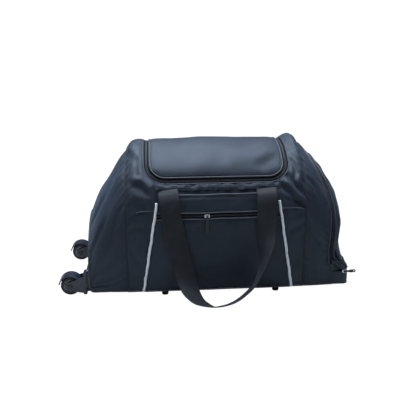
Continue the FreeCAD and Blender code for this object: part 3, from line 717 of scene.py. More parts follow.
def shell_lift(x, s, inner):
    """Height of the shell's cloth; inner is the distance to the lid's opening."""
    seam = np.minimum(x - LEFT_SEAM, RIGHT_SEAM - x)
    ends = np.minimum(s - SHELL_FOOT, SHELL_BACK - s)
    lift = swell(seam, 4.6, 11) * swell(ends, 1.0, 12) * swell(inner + 3, 1.0, 7)
    for mid_x, mid_s, wide, long, height in SHOULDER_PUFFS:
        lift = lift + height * np.exp(-((x - mid_x) / wide) ** 2 - ((s - mid_s) / long) ** 2)
    lift = lift + ripples(x, s, 11, 95, 24) * 1.5 * swell(np.minimum(seam, ends), 1.0, 8)
    lift = creased(lift, x, s, SHELL_CREASES)
    lift = lift + gathers(x, ends, 2.0, 1.0) + gathers(s, seam, 4.0, 0.8)
    # It lies low under the yoke, and near the opening it can't rise faster than it runs.
    covered = np.clip((84 - s) / 9, 0, 1) * np.clip((145 - np.abs(x + 4)) / 9, 0, 1)
    lift = lift * (1 - 0.9 * covered)
    lift = np.minimum(lift + 1.2 * np.exp(-np.maximum(inner, 0) / 2.5), 0.7 + 0.55 * inner)
    # Behind the hinge it falls away, so that the lid has room to fold back.
    behind = (s > LID_HINGE) & (np.abs(x) < LID_X + ZIP_BAND + 2)
    return np.where(behind, np.minimum(lift, 0.42 * (s - LID_HINGE) - 1.6), lift)


# %% [markdown]
# The ring is cut in four at the middles of the opening's corners. Each quarter of the
# opening then faces one side of the panel, point for point, and rows of quads join them.

# %% Shell mesh
def ring_sides(across, upward):
    """Corner-to-corner lines of the opening and of the panel's outside, side by side."""
    xs, ss = lid_edge(ZIP_BAND)
    ss[0] = ss[-1] = LID_HINGE + HINGE_GAP
    first = SIDE_POINTS - 1 + CORNER_POINTS // 2
    last = len(xs) - 1 - first
    pieces = [(xs[:first + 1], ss[:first + 1]), (xs[first:last + 1], ss[first:last + 1]),
              (xs[last:], ss[last:]),
              (np.array([xs[-1], xs[0]]), np.array([ss[-1], ss[0]]))]
    corners = [(LEFT_SEAM, SHELL_BACK), (LEFT_SEAM, SHELL_FOOT), (RIGHT_SEAM, SHELL_FOOT),
               (RIGHT_SEAM, SHELL_BACK), (LEFT_SEAM, SHELL_BACK)]
    inside, outside = [], []
    for (px, ps), start, end, count in zip(pieces, corners, corners[1:],
                                           (upward, across, upward, across)):
        line = np.stack([px, ps], axis=1)
        length = distances(line)
        share = np.linspace(0, 1, count + 1)[:-1]
        marks = share * length[-1]
        inside.append(np.stack([np.interp(marks, length, line[:, i]) for i in (0, 1)], axis=1))
        outside.append(np.outer(1 - share, start) + np.outer(share, end))
    inside, outside = np.concatenate(inside), np.concatenate(outside)
    return np.concatenate([inside, inside[:1]]), np.concatenate([outside, outside[:1]])


def make_shell():
    inside, outside = ring_sides(104, 92)
    share = (1 - np.cos(np.linspace(0, math.pi, 19))) / 2 * 0.6 + np.linspace(0, 1, 19) * 0.4
    flat = inside[None] * (1 - share[:, None, None]) + outside[None] * share[:, None, None]
    inner = np.linalg.norm(flat - inside[None], axis=2)
    x, s = flat[..., 0], flat[..., 1]
    points = lifted(x, s, shell_lift(x, s, inner))
    return sheet_piece("upper_shell", points, 3.0, POLYESTER, LINING, 1, True, flat / 1000)


def settle(piece, body, slot, *nodes):
    """Hands a piece to its body and hides the plain solids it stands for; slot is not used."""
    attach(piece, body)
    if nodes:
        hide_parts(*nodes)
    return piece


settle(make_shell(), "bag", "polyester", "left_shoulder", "right_shoulder", "rear_yoke")

# %% [markdown]
# ## Yoke
# Below the lid's zip a narrow band crosses the front between the handles. The handles are
# caught under its lower edge, which is folded under and stands clear of the wall, so it
# throws a thin shadow. It is short and pulled both ways, so it puckers all along.

# %% Yoke band
YOKE_FOOT = 58.5
YOKE_LEFT, YOKE_RIGHT = -150.0, 142.0


def yoke_lift(x, s):
    top = lid_front(x, ZIP_BAND)
    share = np.clip((s - YOKE_FOOT) / (top - YOKE_FOOT), 0, 1)
    pucker = gathers(x, np.minimum(s - YOKE_FOOT, top - s), 7.0, 1.7, 18, 27)
    return 2.6 - share * 1.0 + 1.3 * np.sin(share * math.pi) + pucker + ripples(x, s, 5, 60, 18) * 1.2


def make_yoke():
    x = np.linspace(YOKE_LEFT, YOKE_RIGHT, 150)[None, :]
    share = np.linspace(0, 1, 12)[:, None]
    s = YOKE_FOOT + (lid_front(x, ZIP_BAND) - 1.0 - YOKE_FOOT) * share
    x = np.broadcast_to(x, s.shape)
    side = np.minimum(x - YOKE_LEFT, YOKE_RIGHT - x)
    points = lifted(x, s, yoke_lift(x, s) * np.clip(side / 10 + 0.35, 0, 1))
    return sheet_piece("yoke_band", points, 1.6, POLYESTER, POLYESTER, -1, False, flat_cloth(x, s))


settle(make_yoke(), "bag", "polyester", "front_yoke")

# %% [markdown]
# ## Front and back walls
# Below the shell the walls hang nearly flat to the base. They are kept separate from the
# shell because the real seam there is gathered, and the puckers above and below it do not
# match.

# %% Wall panels
WALL_CREASES = [((-204, -14), (-150, -30), 7.0, 2.2), ((-200, -120), (-168, -150), 8.0, 1.8),
                ((-196, -60), (-176, -110), 7.0, 1.4), ((196, -16), (158, -40), 6.0, 2.4),
                ((192, -70), (176, -130), 8.0, 1.6), ((198, 6), (166, -8), 5.0, 2.0)]


def wall_lift(x, s, rear=False):
    """Height of a wall's cloth; in front it stays low where the pocket covers it."""
    seam = np.minimum(x - LEFT_SEAM, RIGHT_SEAM - x)
    ends = np.minimum(s + SIDE, SHELL_FOOT - s)
    lift = swell(seam, 3.4, 14) * swell(ends, 1.0, 12)
    lift = lift + ripples(x, s, 29 if rear else 23, 140, 34) * 1.6 * swell(seam, 1.0, 10)
    lift = creased(lift, -x if rear else x, s, WALL_CREASES)
    lift = lift + gathers(x, SHELL_FOOT - s, 9.0, 1.0, 10, 17)
    if rear:
        return lift * swell(ends + 2, 1.0, 6)
    covered = np.clip((165 - np.abs(x + 3)) / 10, 0, 1)
    return lift * (1 - 0.92 * covered)


def make_wall(name, rear):
    x = np.linspace(LEFT_SEAM, RIGHT_SEAM, 120)[None, :]
    s = np.linspace(-SIDE, SHELL_FOOT, 56)[:, None]
    x, s = np.broadcast_arrays(x, s)
    points = lifted(x, ROUND - s if rear else s, wall_lift(x, s, rear))
    return sheet_piece(name, points, 3.0, POLYESTER, LINING, 1 if rear else -1, False,
                       flat_cloth(x, s))


settle(make_wall("front_wall", False), "bag", "polyester", "front_panel")
settle(make_wall("back_wall", True), "bag", "polyester", "back_panel")

# %% [markdown]
# ## Wheel end
# The gusset falls from the shoulder to the wheel carrier in a soft curve with one slack
# dent halfway. It closes on an arch-shaped end panel, which is flat because the carrier is
# riveted through it. A bound edge covers the seam between them.

# %% Wheel end cloth
LEFT_END_X = -296.0
GUSSET_CREASES = [((-290, 64), (-252, 84), 9.0, 2.2), ((-212, 60), (-240, 20), 8.0, 1.4),
                  ((-288, -126), (-214, -138), 8.0, 2.2), ((-252, -20), (-246, -110), 10.0, 1.2),
                  ((-282, 140), (-252, 156), 9.0, 2.0), ((-212, 250), (-240, 215), 8.0, 2.0),
                  ((-286, 330), (-240, 380), 10.0, 3.0), ((-286, 580), (-216, 560), 9.0, 2.2)]


def left_lift(x, s):
    near = np.minimum(x - LEFT_END_X, LEFT_SEAM - x)
    lift = swell(near, 4.2, 15) * swell(np.minimum(s + SIDE, ROUND + SIDE - s) + 3, 1.0, 8)
    lift = lift + ripples(x, s, 41, 150, 50) * 1.2 * swell(near, 1.0, 9)
    return creased(lift, x, s, GUSSET_CREASES) + gathers(s, near, 3.0, 0.8, 11, 21)


def make_left_gusset():
    x = np.linspace(LEFT_END_X, LEFT_SEAM, 30)[:, None]
    s = np.linspace(-SIDE, ROUND + SIDE, 200)[None, :]
    x, s = np.broadcast_arrays(x, s)
    points = lifted(x, s, left_lift(x, s))
    return sheet_piece("wheel_end_gusset", points, 3.0, POLYESTER, LINING, 1, False,
                       flat_cloth(s, x))


def fan(rim, hub, shares):
    """Rows from a hub point out to a rim line, at given shares of the way."""
    shares = shares[None, :, None]
    return np.asarray(hub)[None, None] * (1 - shares) + rim[:, None] * shares


def make_left_end():
    s = np.linspace(-SIDE, ROUND + SIDE, 120)
    rim = dome(np.full_like(s, LEFT_END_X), s)
    points = fan(rim, (LEFT_END_X, 0.0, FLOOR), np.linspace(0, 1, 22))
    y, z = points[..., 1], points[..., 2]
    points[..., 0] -= 1.6 + 0.5 * ripples(y, z, 51, 120, 40) * np.clip((z - 90) / 40, 0, 1)
    return sheet_piece("wheel_end_panel", points, 2.6, POLYESTER, LINING, -1, False,
                       points[..., 1:] / 1000)


settle(make_left_gusset(), "bag", "polyester", "left_gusset")
settle(make_left_end(), "bag", "polyester", "left_end_panel")

# %% [markdown]
# ## Door end
# The end door is a soft dome cut off by a zip. Seen from the front that zip is a leaning
# bow with a round lower corner, so its x depends only on the height, and each line of
# cloth on the gusset is run out until it meets the zip.

# %% Door zip line
ZIP_BEND = (300.0, 80.0, 34.0)      # x, height and radius of the lower corner
ZIP_TOP = (216.0, 340.0)
ZIP_BOW = 24.0              # how far the zip's long run bows out of a straight line
DOOR_FOOT = 46.0
DOOR_TAPE = 6.0             # width of one tape
CUFF_X = 270.0              # where the gusset ends below the door's foot


def zip_x(z, grow):
    """x of the end zip at a height; a positive margin moves it into the door."""
    bend_x, bend_z, bend_r = ZIP_BEND
    low = bend_x - np.sqrt(np.maximum((bend_r - grow) ** 2 - (bend_z - z) ** 2, 0))
    start_x, rise = bend_x - bend_r, ZIP_TOP[1] - bend_z
    lean = (ZIP_TOP[0] - start_x) / rise
    bow = ZIP_BOW * np.sin(np.clip((z - bend_z) / rise, 0, 1) * math.pi) ** 1.5
    return np.where(z < bend_z, low, start_x + grow + (z - bend_z) * lean + bow)


def zip_edge(s, grow):
    """x where each line of cloth meets the zip line, by halving."""
    left, right = np.full_like(s, RIGHT_SEAM), np.full_like(s, 330.0)
    for _ in range(32):
        middle = (left + right) / 2
        inside = middle < zip_x(dome(middle, s)[:, 2], grow)
        left, right = np.where(inside, middle, left), np.where(inside, right, middle)
    return np.where(dome(left, s)[:, 2] < DOOR_FOOT - 1, CUFF_X, left)


def zip_curve(grow, lift, count=260):
    """The end zip's line in space from the front foot over the top to the rear foot."""
    s = np.linspace(-SIDE, ROUND + SIDE, count * 3)
    x = zip_edge(s, grow)
    high = dome(x, s)[:, 2] > DOOR_FOOT
    return even_line(lifted(x[high], s[high], lift), 900 / count)


print("door zip from x", [round(float(zip_x(z, 0)), 1) for z in (DOOR_FOOT, 200.0, 300.0)])

# %% [markdown]
# The gusset runs from the seam to the zip, so it is narrow at the crown and wide at the
# foot. Behind it a plain lining wall keeps shoes from the balls. Below the door's foot a
# cuff of cloth turns each lower corner, from the gusset to the frame of the pull handle.

# %% Door-end gusset and the wall between the compartments
RIGHT_CREASES = [((206, 96), (240, 60), 8.0, 2.8), ((204, -20), (236, -44), 8.0, 2.2),
                 ((214, -70), (232, -140), 10.0, 2.0), ((206, 200), (232, 240), 8.0, 2.8),
                 ((206, 320), (238, 350), 8.0, 2.4), ((250, -96), (268, -60), 7.0, 1.6)]


def right_lift(x, s, edge):
    near = np.minimum(x - RIGHT_SEAM, edge - x)
    lift = swell(near, 3.6, 12) * swell(np.minimum(s + SIDE, ROUND + SIDE - s) + 3, 1.0, 8)
    lift = lift + ripples(x, s, 61, 140, 34) * 1.6 * swell(near, 1.0, 9)
    return creased(lift, x, s, RIGHT_CREASES) + gathers(s, near, 5.0, 0.8, 11, 19)


def make_right_gusset():
    s = np.linspace(-SIDE, ROUND + SIDE, 220)
    edge = zip_edge(s, -DOOR_TAPE)
    share = np.linspace(0, 1, 24)[:, None]
    x = RIGHT_SEAM + (edge - RIGHT_SEAM)[None, :] * share
    s, edge, x = np.broadcast_arrays(s[None, :], edge[None, :], x)
    points = lifted(x, s, right_lift(x, s, edge))
    return sheet_piece("door_end_gusset", points, 3.0, POLYESTER, LINING, 1, False,
                       flat_cloth(s, x))


DIVIDER_X, DIVIDER_FOOT, DIVIDER_TOP = 202.0, 46.0, 328.0


def make_divider():
    """The dome's own section, drawn in a little to hang clear of the wall."""
    s = np.linspace(-SIDE, ROUND + SIDE, 100)
    rim = dome(np.full_like(s, DIVIDER_X), s) * (1, 0.965, 1)
    height = (rim[:, 2] - FLOOR) / (rim[:, 2].max() - FLOOR)
    rim[:, 2] = DIVIDER_FOOT + height * (DIVIDER_TOP - DIVIDER_FOOT)
    points = fan(rim, (DIVIDER_X, 0.0, DIVIDER_FOOT), np.linspace(0, 1, 20))
    points[..., 0] += ripples(points[..., 1], points[..., 2], 71, 160, 50) * 0.5
    return sheet_piece("shoe_divider", points, 1.6, LINING, LINING, -1, False,
                       points[..., 1:] / 1000)


def make_cuff(name, side):
    """Cloth round one lower corner of the door end, from the gusset to the grip's frame."""
    step = 2.0
    line = even_line([(269.5, 143.4, 0), (284, 142.9, 0), (296, 141.7, 0), (303, 139.2, 0),
                      (308.5, 134.4, 0), (312, 127, 0), (313.6, 116, 0), (314.4, 102, 0),
                      (314.6, 88.6, 0)], step) * (1, side, 1)
    z = np.linspace(FLOOR, DOOR_FOOT - 1, 12)
    points = np.repeat(line[:, None], len(z), axis=1)
    points[..., 2] = z
    puff = 1.5 * np.sin((z - FLOOR) / (DOOR_FOOT - 1 - FLOOR) * math.pi)
    away = slopes(points, False) * -side
    wave = ripples(points[..., 0], z[None], 131, 60, 20) * 0.6 + puff[None]
    ends = swell(np.arange(len(line))[:, None] * step, 1.0, 6)
    return sheet_piece(name, points + away * (wave * ends)[..., None], 2.4, POLYESTER, LINING, -side)


settle(make_cuff("corner_front", -1), "bag", "polyester", "front_cuff")
settle(make_cuff("corner_rear", 1), "bag", "polyester", "rear_cuff")
settle(make_right_gusset(), "bag", "polyester", "right_gusset")
settle(make_divider(), "bag", "lining", "compartment_divider")

# %% [markdown]
# ## End door
# Two shapes bound the door: the bag's own arch, falling away at the top, and a rounded plan
# that bulges past the zip. A hard meeting of the two would leave a ridge, so they are
# blended by a smooth minimum, as foam-backed cloth would settle.

# %% Door surface
DOOR_HALF = 143.0
DOOR_BULGE = [(40, 314.5), (62, 310.5), (100, 303), (190, 301), (340, 299)]   # height, x


def falls_away(y, z):
    """x at which the bag's own arch passes through a point of the end."""
    level = z + DOOR_HALF - np.sqrt(np.maximum(DOOR_HALF ** 2 - y ** 2, 0))
    falling = SECTIONS[SECTIONS[:, 0] >= 200][::-1]
    return np.interp(level, falling[:, 2], falling[:, 0])


def rounded_plan(y, z, grow):
    """x of the bulge past the zip, square in plan at the foot and rounder above."""
    edge = zip_x(z, grow)
    bulge = np.interp(z, *zip(*DOOR_BULGE))
    power = np.interp(z, (46, 66, 100, 300), (4.2, 2.8, 2.15, 2.15))
    share = np.clip(np.abs(y) / (DOOR_HALF + 0.5), 0, 1)
    return edge + (bulge - edge) * np.maximum(1 - share ** power, 0) ** (1 / power)


def door_x(y, z, grow):
    """Smooth minimum of the two shapes."""
    a, b = falls_away(y, z), rounded_plan(y, z, grow)
    gap = np.clip(0.5 + (b - a) / 26, 0, 1)
    return b + (a - b) * gap - 6.5 * gap * (1 - gap)


DOOR_CREASES = [((-110, 110), (-60, 150), 10.0, 2.6), ((90, 90), (120, 170), 10.0, 2.4),
                ((-30, 250), (40, 262), 11.0, 2.0), ((-120, 190), (-96, 232), 9.0, 2.2),
                ((-40, 70), (50, 78), 12.0, 1.6)]


def make_door():
    edge = zip_curve(DOOR_TAPE + 0.6, 0.0, 150)
    edge[:, 2] = np.maximum(edge[:, 2], DOOR_FOOT + 0.2)
    edge = np.concatenate([[(edge[0][0], edge[0][1], DOOR_FOOT)], edge,
                           [(edge[-1][0], edge[-1][1], DOOR_FOOT)]])
    share = 1 - (1 - np.linspace(0, 1, 34)) ** 2.0
    points = fan(edge, (0.0, 0.0, DOOR_FOOT), share)
    y, z = points[..., 1].copy(), points[..., 2].copy()
    inner = (1 - share)[None, :] * np.linalg.norm(edge[:, 1:] - (0, DOOR_FOOT), axis=1)[:, None]
    free = swell(inner, 1.0, 12) * np.clip((z - DOOR_FOOT) / 30, 0, 1)
    x = door_x(y, z, DOOR_TAPE + 0.6)
    blendin = np.clip(inner / 10, 0, 1)
    x = x * blendin + edge[:, 0][:, None] * (1 - blendin)
    x = x + free * (ripples(y, z, 81, 150, 36) * 2.0)
    points[..., 0] = creased(x, y, z, DOOR_CREASES, free)
    return sheet_piece("end_door_cover", points, 3.0, POLYESTER, LINING, 1, False,
                       flat_cloth(y, z))


settle(make_door(), "end_door", "polyester", "end_door_panel")

# %% [markdown]
# ## Zips
# Each zip is two knitted tapes that lie a little below the cloth, and between them two
# halves of a nylon coil. One half belongs to the wall and the other to the flap, so the
# halves are separate pieces and part when the flap opens. A thin bound lip finishes the
# cloth on each side, and catches a line of light.

# %% Zip parts along two edges
def matched(one, other):
    """Two lines with the same number of points, each spread evenly over its own."""
    place = np.linspace(0, 1, min(len(one), len(other)))
    return [np.stack([np.interp(place, np.linspace(0, 1, len(v)), v[:, i]) for i in range(3)], 1)
            for v in (one, other)]


def tape(name, one, other, side, body, node):
    """Knitted tape between two lines, in place of the plain tape of the model."""
    one, other = matched(one, other)
    share = np.linspace(0, 1, 4)[None, :, None]
    strip = one[:, None] * (1 - share) + other[:, None] * share
    return settle(sheet_piece(name, strip, 0.9, ZIP_TAPE, ZIP_TAPE, side), body, "zip_tape", node)


def coils(name, lines, body):
    """Half of a nylon coil along each line."""
    parts = [coil_mesh(line) for line in lines]
    return settle(joined_piece(name, parts, COIL), body, "zip_tape")


def cords(name, lines, finish, body="bag"):
    """Round cords, each given by its line and its radius, as one piece."""
    parts = [tube_mesh(*line) for line in lines]
    return settle(joined_piece(name, parts, finish), body, "polyester")


# %% [markdown]
# The lid's zip lies between the lid's outline and the edge of the opening. The end zip has
# the same parts, on either side of its bowed line.

# %% Lid zip and end zip
def lid_line(grow, lift):
    return lifted(*lid_edge(grow), lift)


tape("lid_tape", lid_line(-1.0, -1.6), lid_line(6.4, -2.6), 1, "lid", "lid_zip_tape_lid")
tape("opening_tape", lid_line(8.0, -2.6), lid_line(ZIP_BAND + 1.0, -1.6), 1, "bag",
     "lid_zip_tape_body")
coils("lid_coil", [lid_line(6.2, -1.8)], "lid")
coils("opening_coil", [lid_line(8.5, -1.8)], "bag")
cords("opening_lip", [(even_line(lid_line(ZIP_BAND - 0.4, 1.0), 3), 1.25)], EDGE_CORD)
tape("end_tape_wall", zip_curve(-DOOR_TAPE - 1, -0.8), zip_curve(-0.4, -1.4), -1, "bag",
     "end_zip_tape_body")
tape("end_tape_door", zip_curve(1.0, -1.4), zip_curve(DOOR_TAPE + 1.6, -0.8), -1, "end_door",
     "end_zip_tape_door")
coils("end_coil_wall", [zip_curve(-0.9, -0.4)], "bag")
coils("end_coil_door", [zip_curve(1.5, -0.4)], "end_door")
cords("end_lip_wall", [(zip_curve(-DOOR_TAPE, 0.8, 200), 1.7)], EDGE_CORD)
cords("end_lip_door", [(zip_curve(DOOR_TAPE + 0.8, 0.6, 200), 1.6)], EDGE_CORD, "end_door")

# %% [markdown]
# ## Lid
# The lid is the thickest part, a foam pad between cloth and lining. It crowns between its
# edges, dips where a hand has pressed it, and rolls down to a corded edge. Rows of cloth
# start on the curved front edge and run back to the hinge.

# %% Lid pad
LID_DENTS = [((96, 112), (138, 138), 15.0, 3.4), ((-60, 150), (30, 132), 20.0, 1.8),
             ((-130, 190), (-90, 230), 18.0, 1.8), ((60, 200), (120, 240), 20.0, 1.6),
             ((-20, 262), (60, 280), 18.0, 1.4)]


def lid_lift(x, s):
    front = lid_front(x)
    near = np.minimum(np.minimum(LID_X - np.abs(x), s - front), (LID_HINGE - s) * 1.5 + 3)
    lift = swell(near, 5.2, 9) - 0.6 + ripples(x, s, 91, 190, 60) * 1.5 * swell(near, 1.0, 14)
    lift = creased(lift, x, s, LID_DENTS, swell(near, 1.0, 10))
    lift = lift + gathers(x, s - front, 6.0, 0.5, 9, 26)
    return np.minimum(lift, 0.42 * (LID_HINGE - s) - 1.6)


def make_lid():
    across = np.linspace(0, 1, 121)
    side = np.sin((across - 0.5) * math.pi)
    x = (LID_X * (side * 0.45 + (across * 2 - 1) * 0.55))[None, :]
    share = np.linspace(0, 1, 90)[:, None]
    share = share * 0.75 + (1 - np.cos(share * math.pi)) / 2 * 0.25
    s = lid_front(x) + (LID_HINGE - HINGE_GAP - lid_front(x)) * share
    x, s = np.broadcast_arrays(x, s)
    points = lifted(x, s, lid_lift(x, s))
    return sheet_piece("lid_pad", points, 4.0, POLYESTER, LINING, -1, False, flat_cloth(x, s))


LID = settle(make_lid(), "lid", "polyester", "lid_panel")

# %% [markdown]
# The lid has no metal hinge. Foam stops a little short of the fold on both sides, and the
# cloth alone crosses it, as a thin strip between the bag and the lid.

# %% Soft hinge
HINGE_LIFT = -1.5


def make_hinge():
    x = np.linspace(-LID_X + 1, LID_X - 1, 90)[None, :]
    s = np.linspace(LID_HINGE + 6, LID_HINGE - 6, 15)[:, None]
    x, s = np.broadcast_arrays(x, s)
    points = lifted(x, s, HINGE_LIFT + 0.15 * np.sin(x / 6.0))
    piece = sheet_piece("lid_soft_hinge", points, 0.8, POLYESTER, LINING, 1, False,
                        flat_cloth(x, s))
    ends = metres(lifted(np.zeros(2), LID_HINGE + np.array((3.0, -3.0)), HINGE_LIFT))
    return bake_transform(piece)


make_hinge()
cords("lid_cord", [(even_line(lid_line(-0.2, 0.5), 3), 1.9)], EDGE_CORD, "lid")

# %% [markdown]
# ## Front pocket
# The pocket is a flat trapezium, wider at the foot, with its zip near the top and a turned
# hem above. It is sewn to the wall down both sides under the white piping. Empty, it lies
# close to the wall and sags into two or three shallow swells.

# %% Pocket cloth
POCKET_OUT = 2.4            # how far the pocket's cloth lies off the wall's skin
POCKET_FOOT_HALF, POCKET_TOP_HALF, POCKET_TOP = 169.4, 130.2, 250.0
ZIP_LOW, ZIP_HIGH, HEM = 186.0, 200.0, 239.0


def pocket_half(z):
    share = (z - FLOOR) / (POCKET_TOP - FLOOR)
    return POCKET_FOOT_HALF + (POCKET_TOP_HALF - POCKET_FOOT_HALF) * share


def height_to_s(z):
    """Cloth distance of a height on the middle of the front."""
    half, crown = girth(0.0)
    spring = crown - half
    low = (z - FLOOR) / (spring - FLOOR) * SIDE - SIDE
    high = np.arcsin(np.clip((z - spring) / half, 0, 1)) * QUARTER / (math.pi / 2)
    return np.where(z < spring, low, high)


def pocket_piece(name, low, high, rows, lift):
    z = np.linspace(low, high, rows)[:, None]
    x = np.linspace(-1, 1, 130)[None, :] * pocket_half(z)
    z = np.broadcast_to(z, x.shape)
    s = height_to_s(z)
    points = lifted(x, s, lift(x, z))
    return sheet_piece(name, points, 1.8, POLYESTER, LINING, -1, False, flat_cloth(x, z))


POCKET_FOLDS = [((-60, 150), (-20, 168), 9, 1.8), ((66, 120), (104, 60), 11, 2.2),
                ((-120, 60), (-40, 40), 12, 1.6)]


def lower_lift(x, z):
    side = pocket_half(z) - np.abs(x)
    near = np.minimum(side, np.minimum(z - 10, ZIP_LOW + 3 - z))
    lift = POCKET_OUT - 1.0 + swell(near, 4.4, 26)
    lift = lift + ripples(x, z, 101, 170, 44) * 1.5 * swell(near, 1.0, 18)
    return creased(lift, x, z, POCKET_FOLDS)


def upper_lift(x, z):
    side = pocket_half(z) - np.abs(x)
    lift = POCKET_OUT - 0.6 + swell(np.minimum(side, z - ZIP_HIGH), 2.2, 8)
    return lift + ripples(x, z, 111, 80, 22) * 0.9 * swell(side, 1.0, 10) - 0.9 * (z > HEM - 9)


settle(pocket_piece("pocket_front", FLOOR + 1, ZIP_LOW, 60, lower_lift), "bag", "polyester",
       "pocket_panel")
settle(pocket_piece("pocket_top", ZIP_HIGH, HEM, 18, upper_lift), "bag", "polyester",
       "pocket_top_panel")


# %% [markdown]
# The pocket's zip lies nearly level between two turned edges, with a third at the hem. All
# three are drawn in a paler copy of the cloth, a painted highlight along each fold.

# %% Pocket zip
def across_line(z, lift, half=None):
    """A line across the pocket that sags a little between stitches."""
    x = np.linspace(-1, 1, 150) * (pocket_half(z) - 2 if half is None else half)
    sag = 0.5 * np.sin(x / 37.0) + 0.35 * np.sin(x / 13.0 + 1)
    return lifted(x, height_to_s(z + sag), lift)


tape("pocket_tape", across_line(ZIP_LOW - 1, 1.4), across_line(ZIP_HIGH + 1, 1.4), -1, "bag",
     "pocket_zip")
coils("pocket_coil", [across_line(193.9, 2.2, 138), across_line(192.1, 2.2, 138)], "bag")
# The lips' paler cloth is a painted highlight along each fold.
cords("pocket_lips", [(across_line(ZIP_LOW, 3.4), 1.5), (across_line(ZIP_HIGH, 3.2), 1.4),
                      (across_line(HEM, 2.8), 1.4)], FOLD_HIGHLIGHT)

# %% [markdown]
# ## White piping
# Two bright cords run down the pocket's sides, from the handles to the base. Each is held
# in the seam, so it wanders by a fraction of a millimetre with the stitches.

# %% Piping cords
def make_piping(name, side):
    z = np.linspace(FLOOR + 1, 223.5, 120)
    x = side * (pocket_half(z) + 3.2)
    wander = 0.35 * np.sin(z / 9.0 + side) + 0.25 * np.sin(z / 4.1)
    path = lifted(x + wander, height_to_s(z), 3.3)
    return joined_piece(name, [tube_mesh(path, 3.1 + 0.12 * np.sin(z / 2.3), 14)], WHITE_BRAID)


settle(make_piping("white_cord_left", -1), "bag", "white_piping", "left_white_piping")
settle(make_piping("white_cord_right", 1), "bag", "white_piping", "right_white_piping")

# %% [markdown]
# ## Seam cords and topstitching
# The vertical seams at both ends of the middle section are bound with a nearly black cord,
# whose darkness is a painted shadow in the seam's valley, and the edge of the wheel end is
# bound too. Stitches run beside every seam, a few millimetres off, on the same lifted
# skin as the cloth below them.

# %% Seam cords
def seam_line(x, lift):
    s = np.linspace(-SIDE, ROUND + SIDE, 260)
    return lifted(np.full_like(s, x), s, lift)


# The cord's darkness is a painted shadow in each seam's valley.
cords("seam_shadow_cord_wheel_end", [(seam_line(LEFT_SEAM, -0.2), 1.5)], SEAM_SHADOW)
cords("seam_shadow_cord_door_end", [(seam_line(RIGHT_SEAM, -0.2), 1.5)], SEAM_SHADOW)
# The shoulder seams' lips use the same paler cloth: a painted highlight along the seam.
cords("shoulder_seams", [
    (lifted(xs, np.full_like(xs, SHELL_FOOT), 1.2 + 0.5 * np.sin(xs / 5.5)), 1.3)
    for xs in (np.linspace(-184, -142, 40), np.linspace(140, RIGHT_SEAM - 4, 50))], FOLD_HIGHLIGHT)
cords("wheel_end_binding", [(seam_line(LEFT_END_X, 0.2), 2.3)], EDGE_CORD)

# %% [markdown]
# A bound edge also runs where the walls meet the base. In front it is pushed out past the
# foot of the pocket, and all along it waves a little.

# %% Binding round the foot
def foot_line(side):
    x = np.linspace(LEFT_END_X, 272, 300)
    half = girth(x)[0]
    out = 1.0 + 2.6 * np.clip((172 - np.abs(x)) / 6, 0, 1) * (side < 0)
    wave = 0.5 * np.sin(x / 23.0) + 0.3 * np.sin(x / 9.0)
    return np.stack([x, side * (half + out + 0.3 * wave), 15.2 + 0.4 * wave], axis=1)


cords("foot_binding", [(foot_line(-1), 1.9), (foot_line(1), 1.9)], EDGE_CORD)

# %% [markdown]
# Every row of stitches asks the cloth below it for its height and lies a quarter of a
# millimetre above it. That is why each panel's lift is a function of its own.

# %% Topstitching
def stitches_on(xs, ss, lift):
    return stitch_row(lifted(xs, ss, lift + 0.25))


STITCH_IN = 5.0             # from a seam to the row beside it


def wall_stitches():
    rows = []
    s = np.linspace(-SIDE + 3, ROUND + SIDE - 3, 500)
    over, below = s[(s > SHELL_FOOT) & (s < SHELL_BACK)], s[s < SHELL_FOOT]
    for seam in (LEFT_SEAM + STITCH_IN, RIGHT_SEAM - STITCH_IN):
        x = np.full_like(over, seam)
        rows += stitches_on(x, over, shell_lift(x, over, np.full_like(over, 40.0)))
        x = np.full_like(below, seam)
        rows += stitches_on(x, below, wall_lift(x, below))
    x = np.full_like(s, LEFT_SEAM - STITCH_IN)
    rows += stitches_on(x, s, left_lift(x, s))
    edge = zip_edge(s, -DOOR_TAPE)
    for x in (np.full_like(s, RIGHT_SEAM + STITCH_IN),
              np.maximum(edge - STITCH_IN, RIGHT_SEAM + STITCH_IN + 1)):
        rows += stitches_on(x, s, right_lift(x, s, edge))
    return rows


def flap_stitches():
    rows = []
    x = np.linspace(YOKE_LEFT + 4, YOKE_RIGHT - 4, 300)
    for off in (3.0, 6.5):
        s = np.full_like(x, YOKE_FOOT + off)
        rows += stitches_on(x, s, yoke_lift(x, s))
    for height, lift in ((ZIP_LOW - 3.5, lower_lift), (ZIP_HIGH + 3.5, upper_lift),
                         (HEM - 4, upper_lift), (HEM - 8, upper_lift)):
        x = np.linspace(-1, 1, 300) * (pocket_half(height) - 4)
        z = np.full_like(x, height)
        rows += stitches_on(x, height_to_s(z), lift(x, z))
    return rows


def lid_stitches():
    xs, ss = lid_edge(-5.5)
    return stitches_on(xs, ss, lid_lift(xs, ss))


settle(joined_piece("wall_topstitching", wall_stitches() + flap_stitches(), THREAD), "bag",
       "polyester")
settle(joined_piece("lid_topstitching", lid_stitches(), THREAD), "lid", "polyester")

# %% [markdown]
# ## Carry handles
# Each handle is one loop of webbing about 650 mm long. Both ends are caught in the seam
# under the yoke. From there it hangs down the front of the bag, leans out over the pocket
# and turns on edge where it rests on the ground. The strap is carried along a smooth line,
# with a roll angle at each point that says how far it has turned out of the wall's plane.

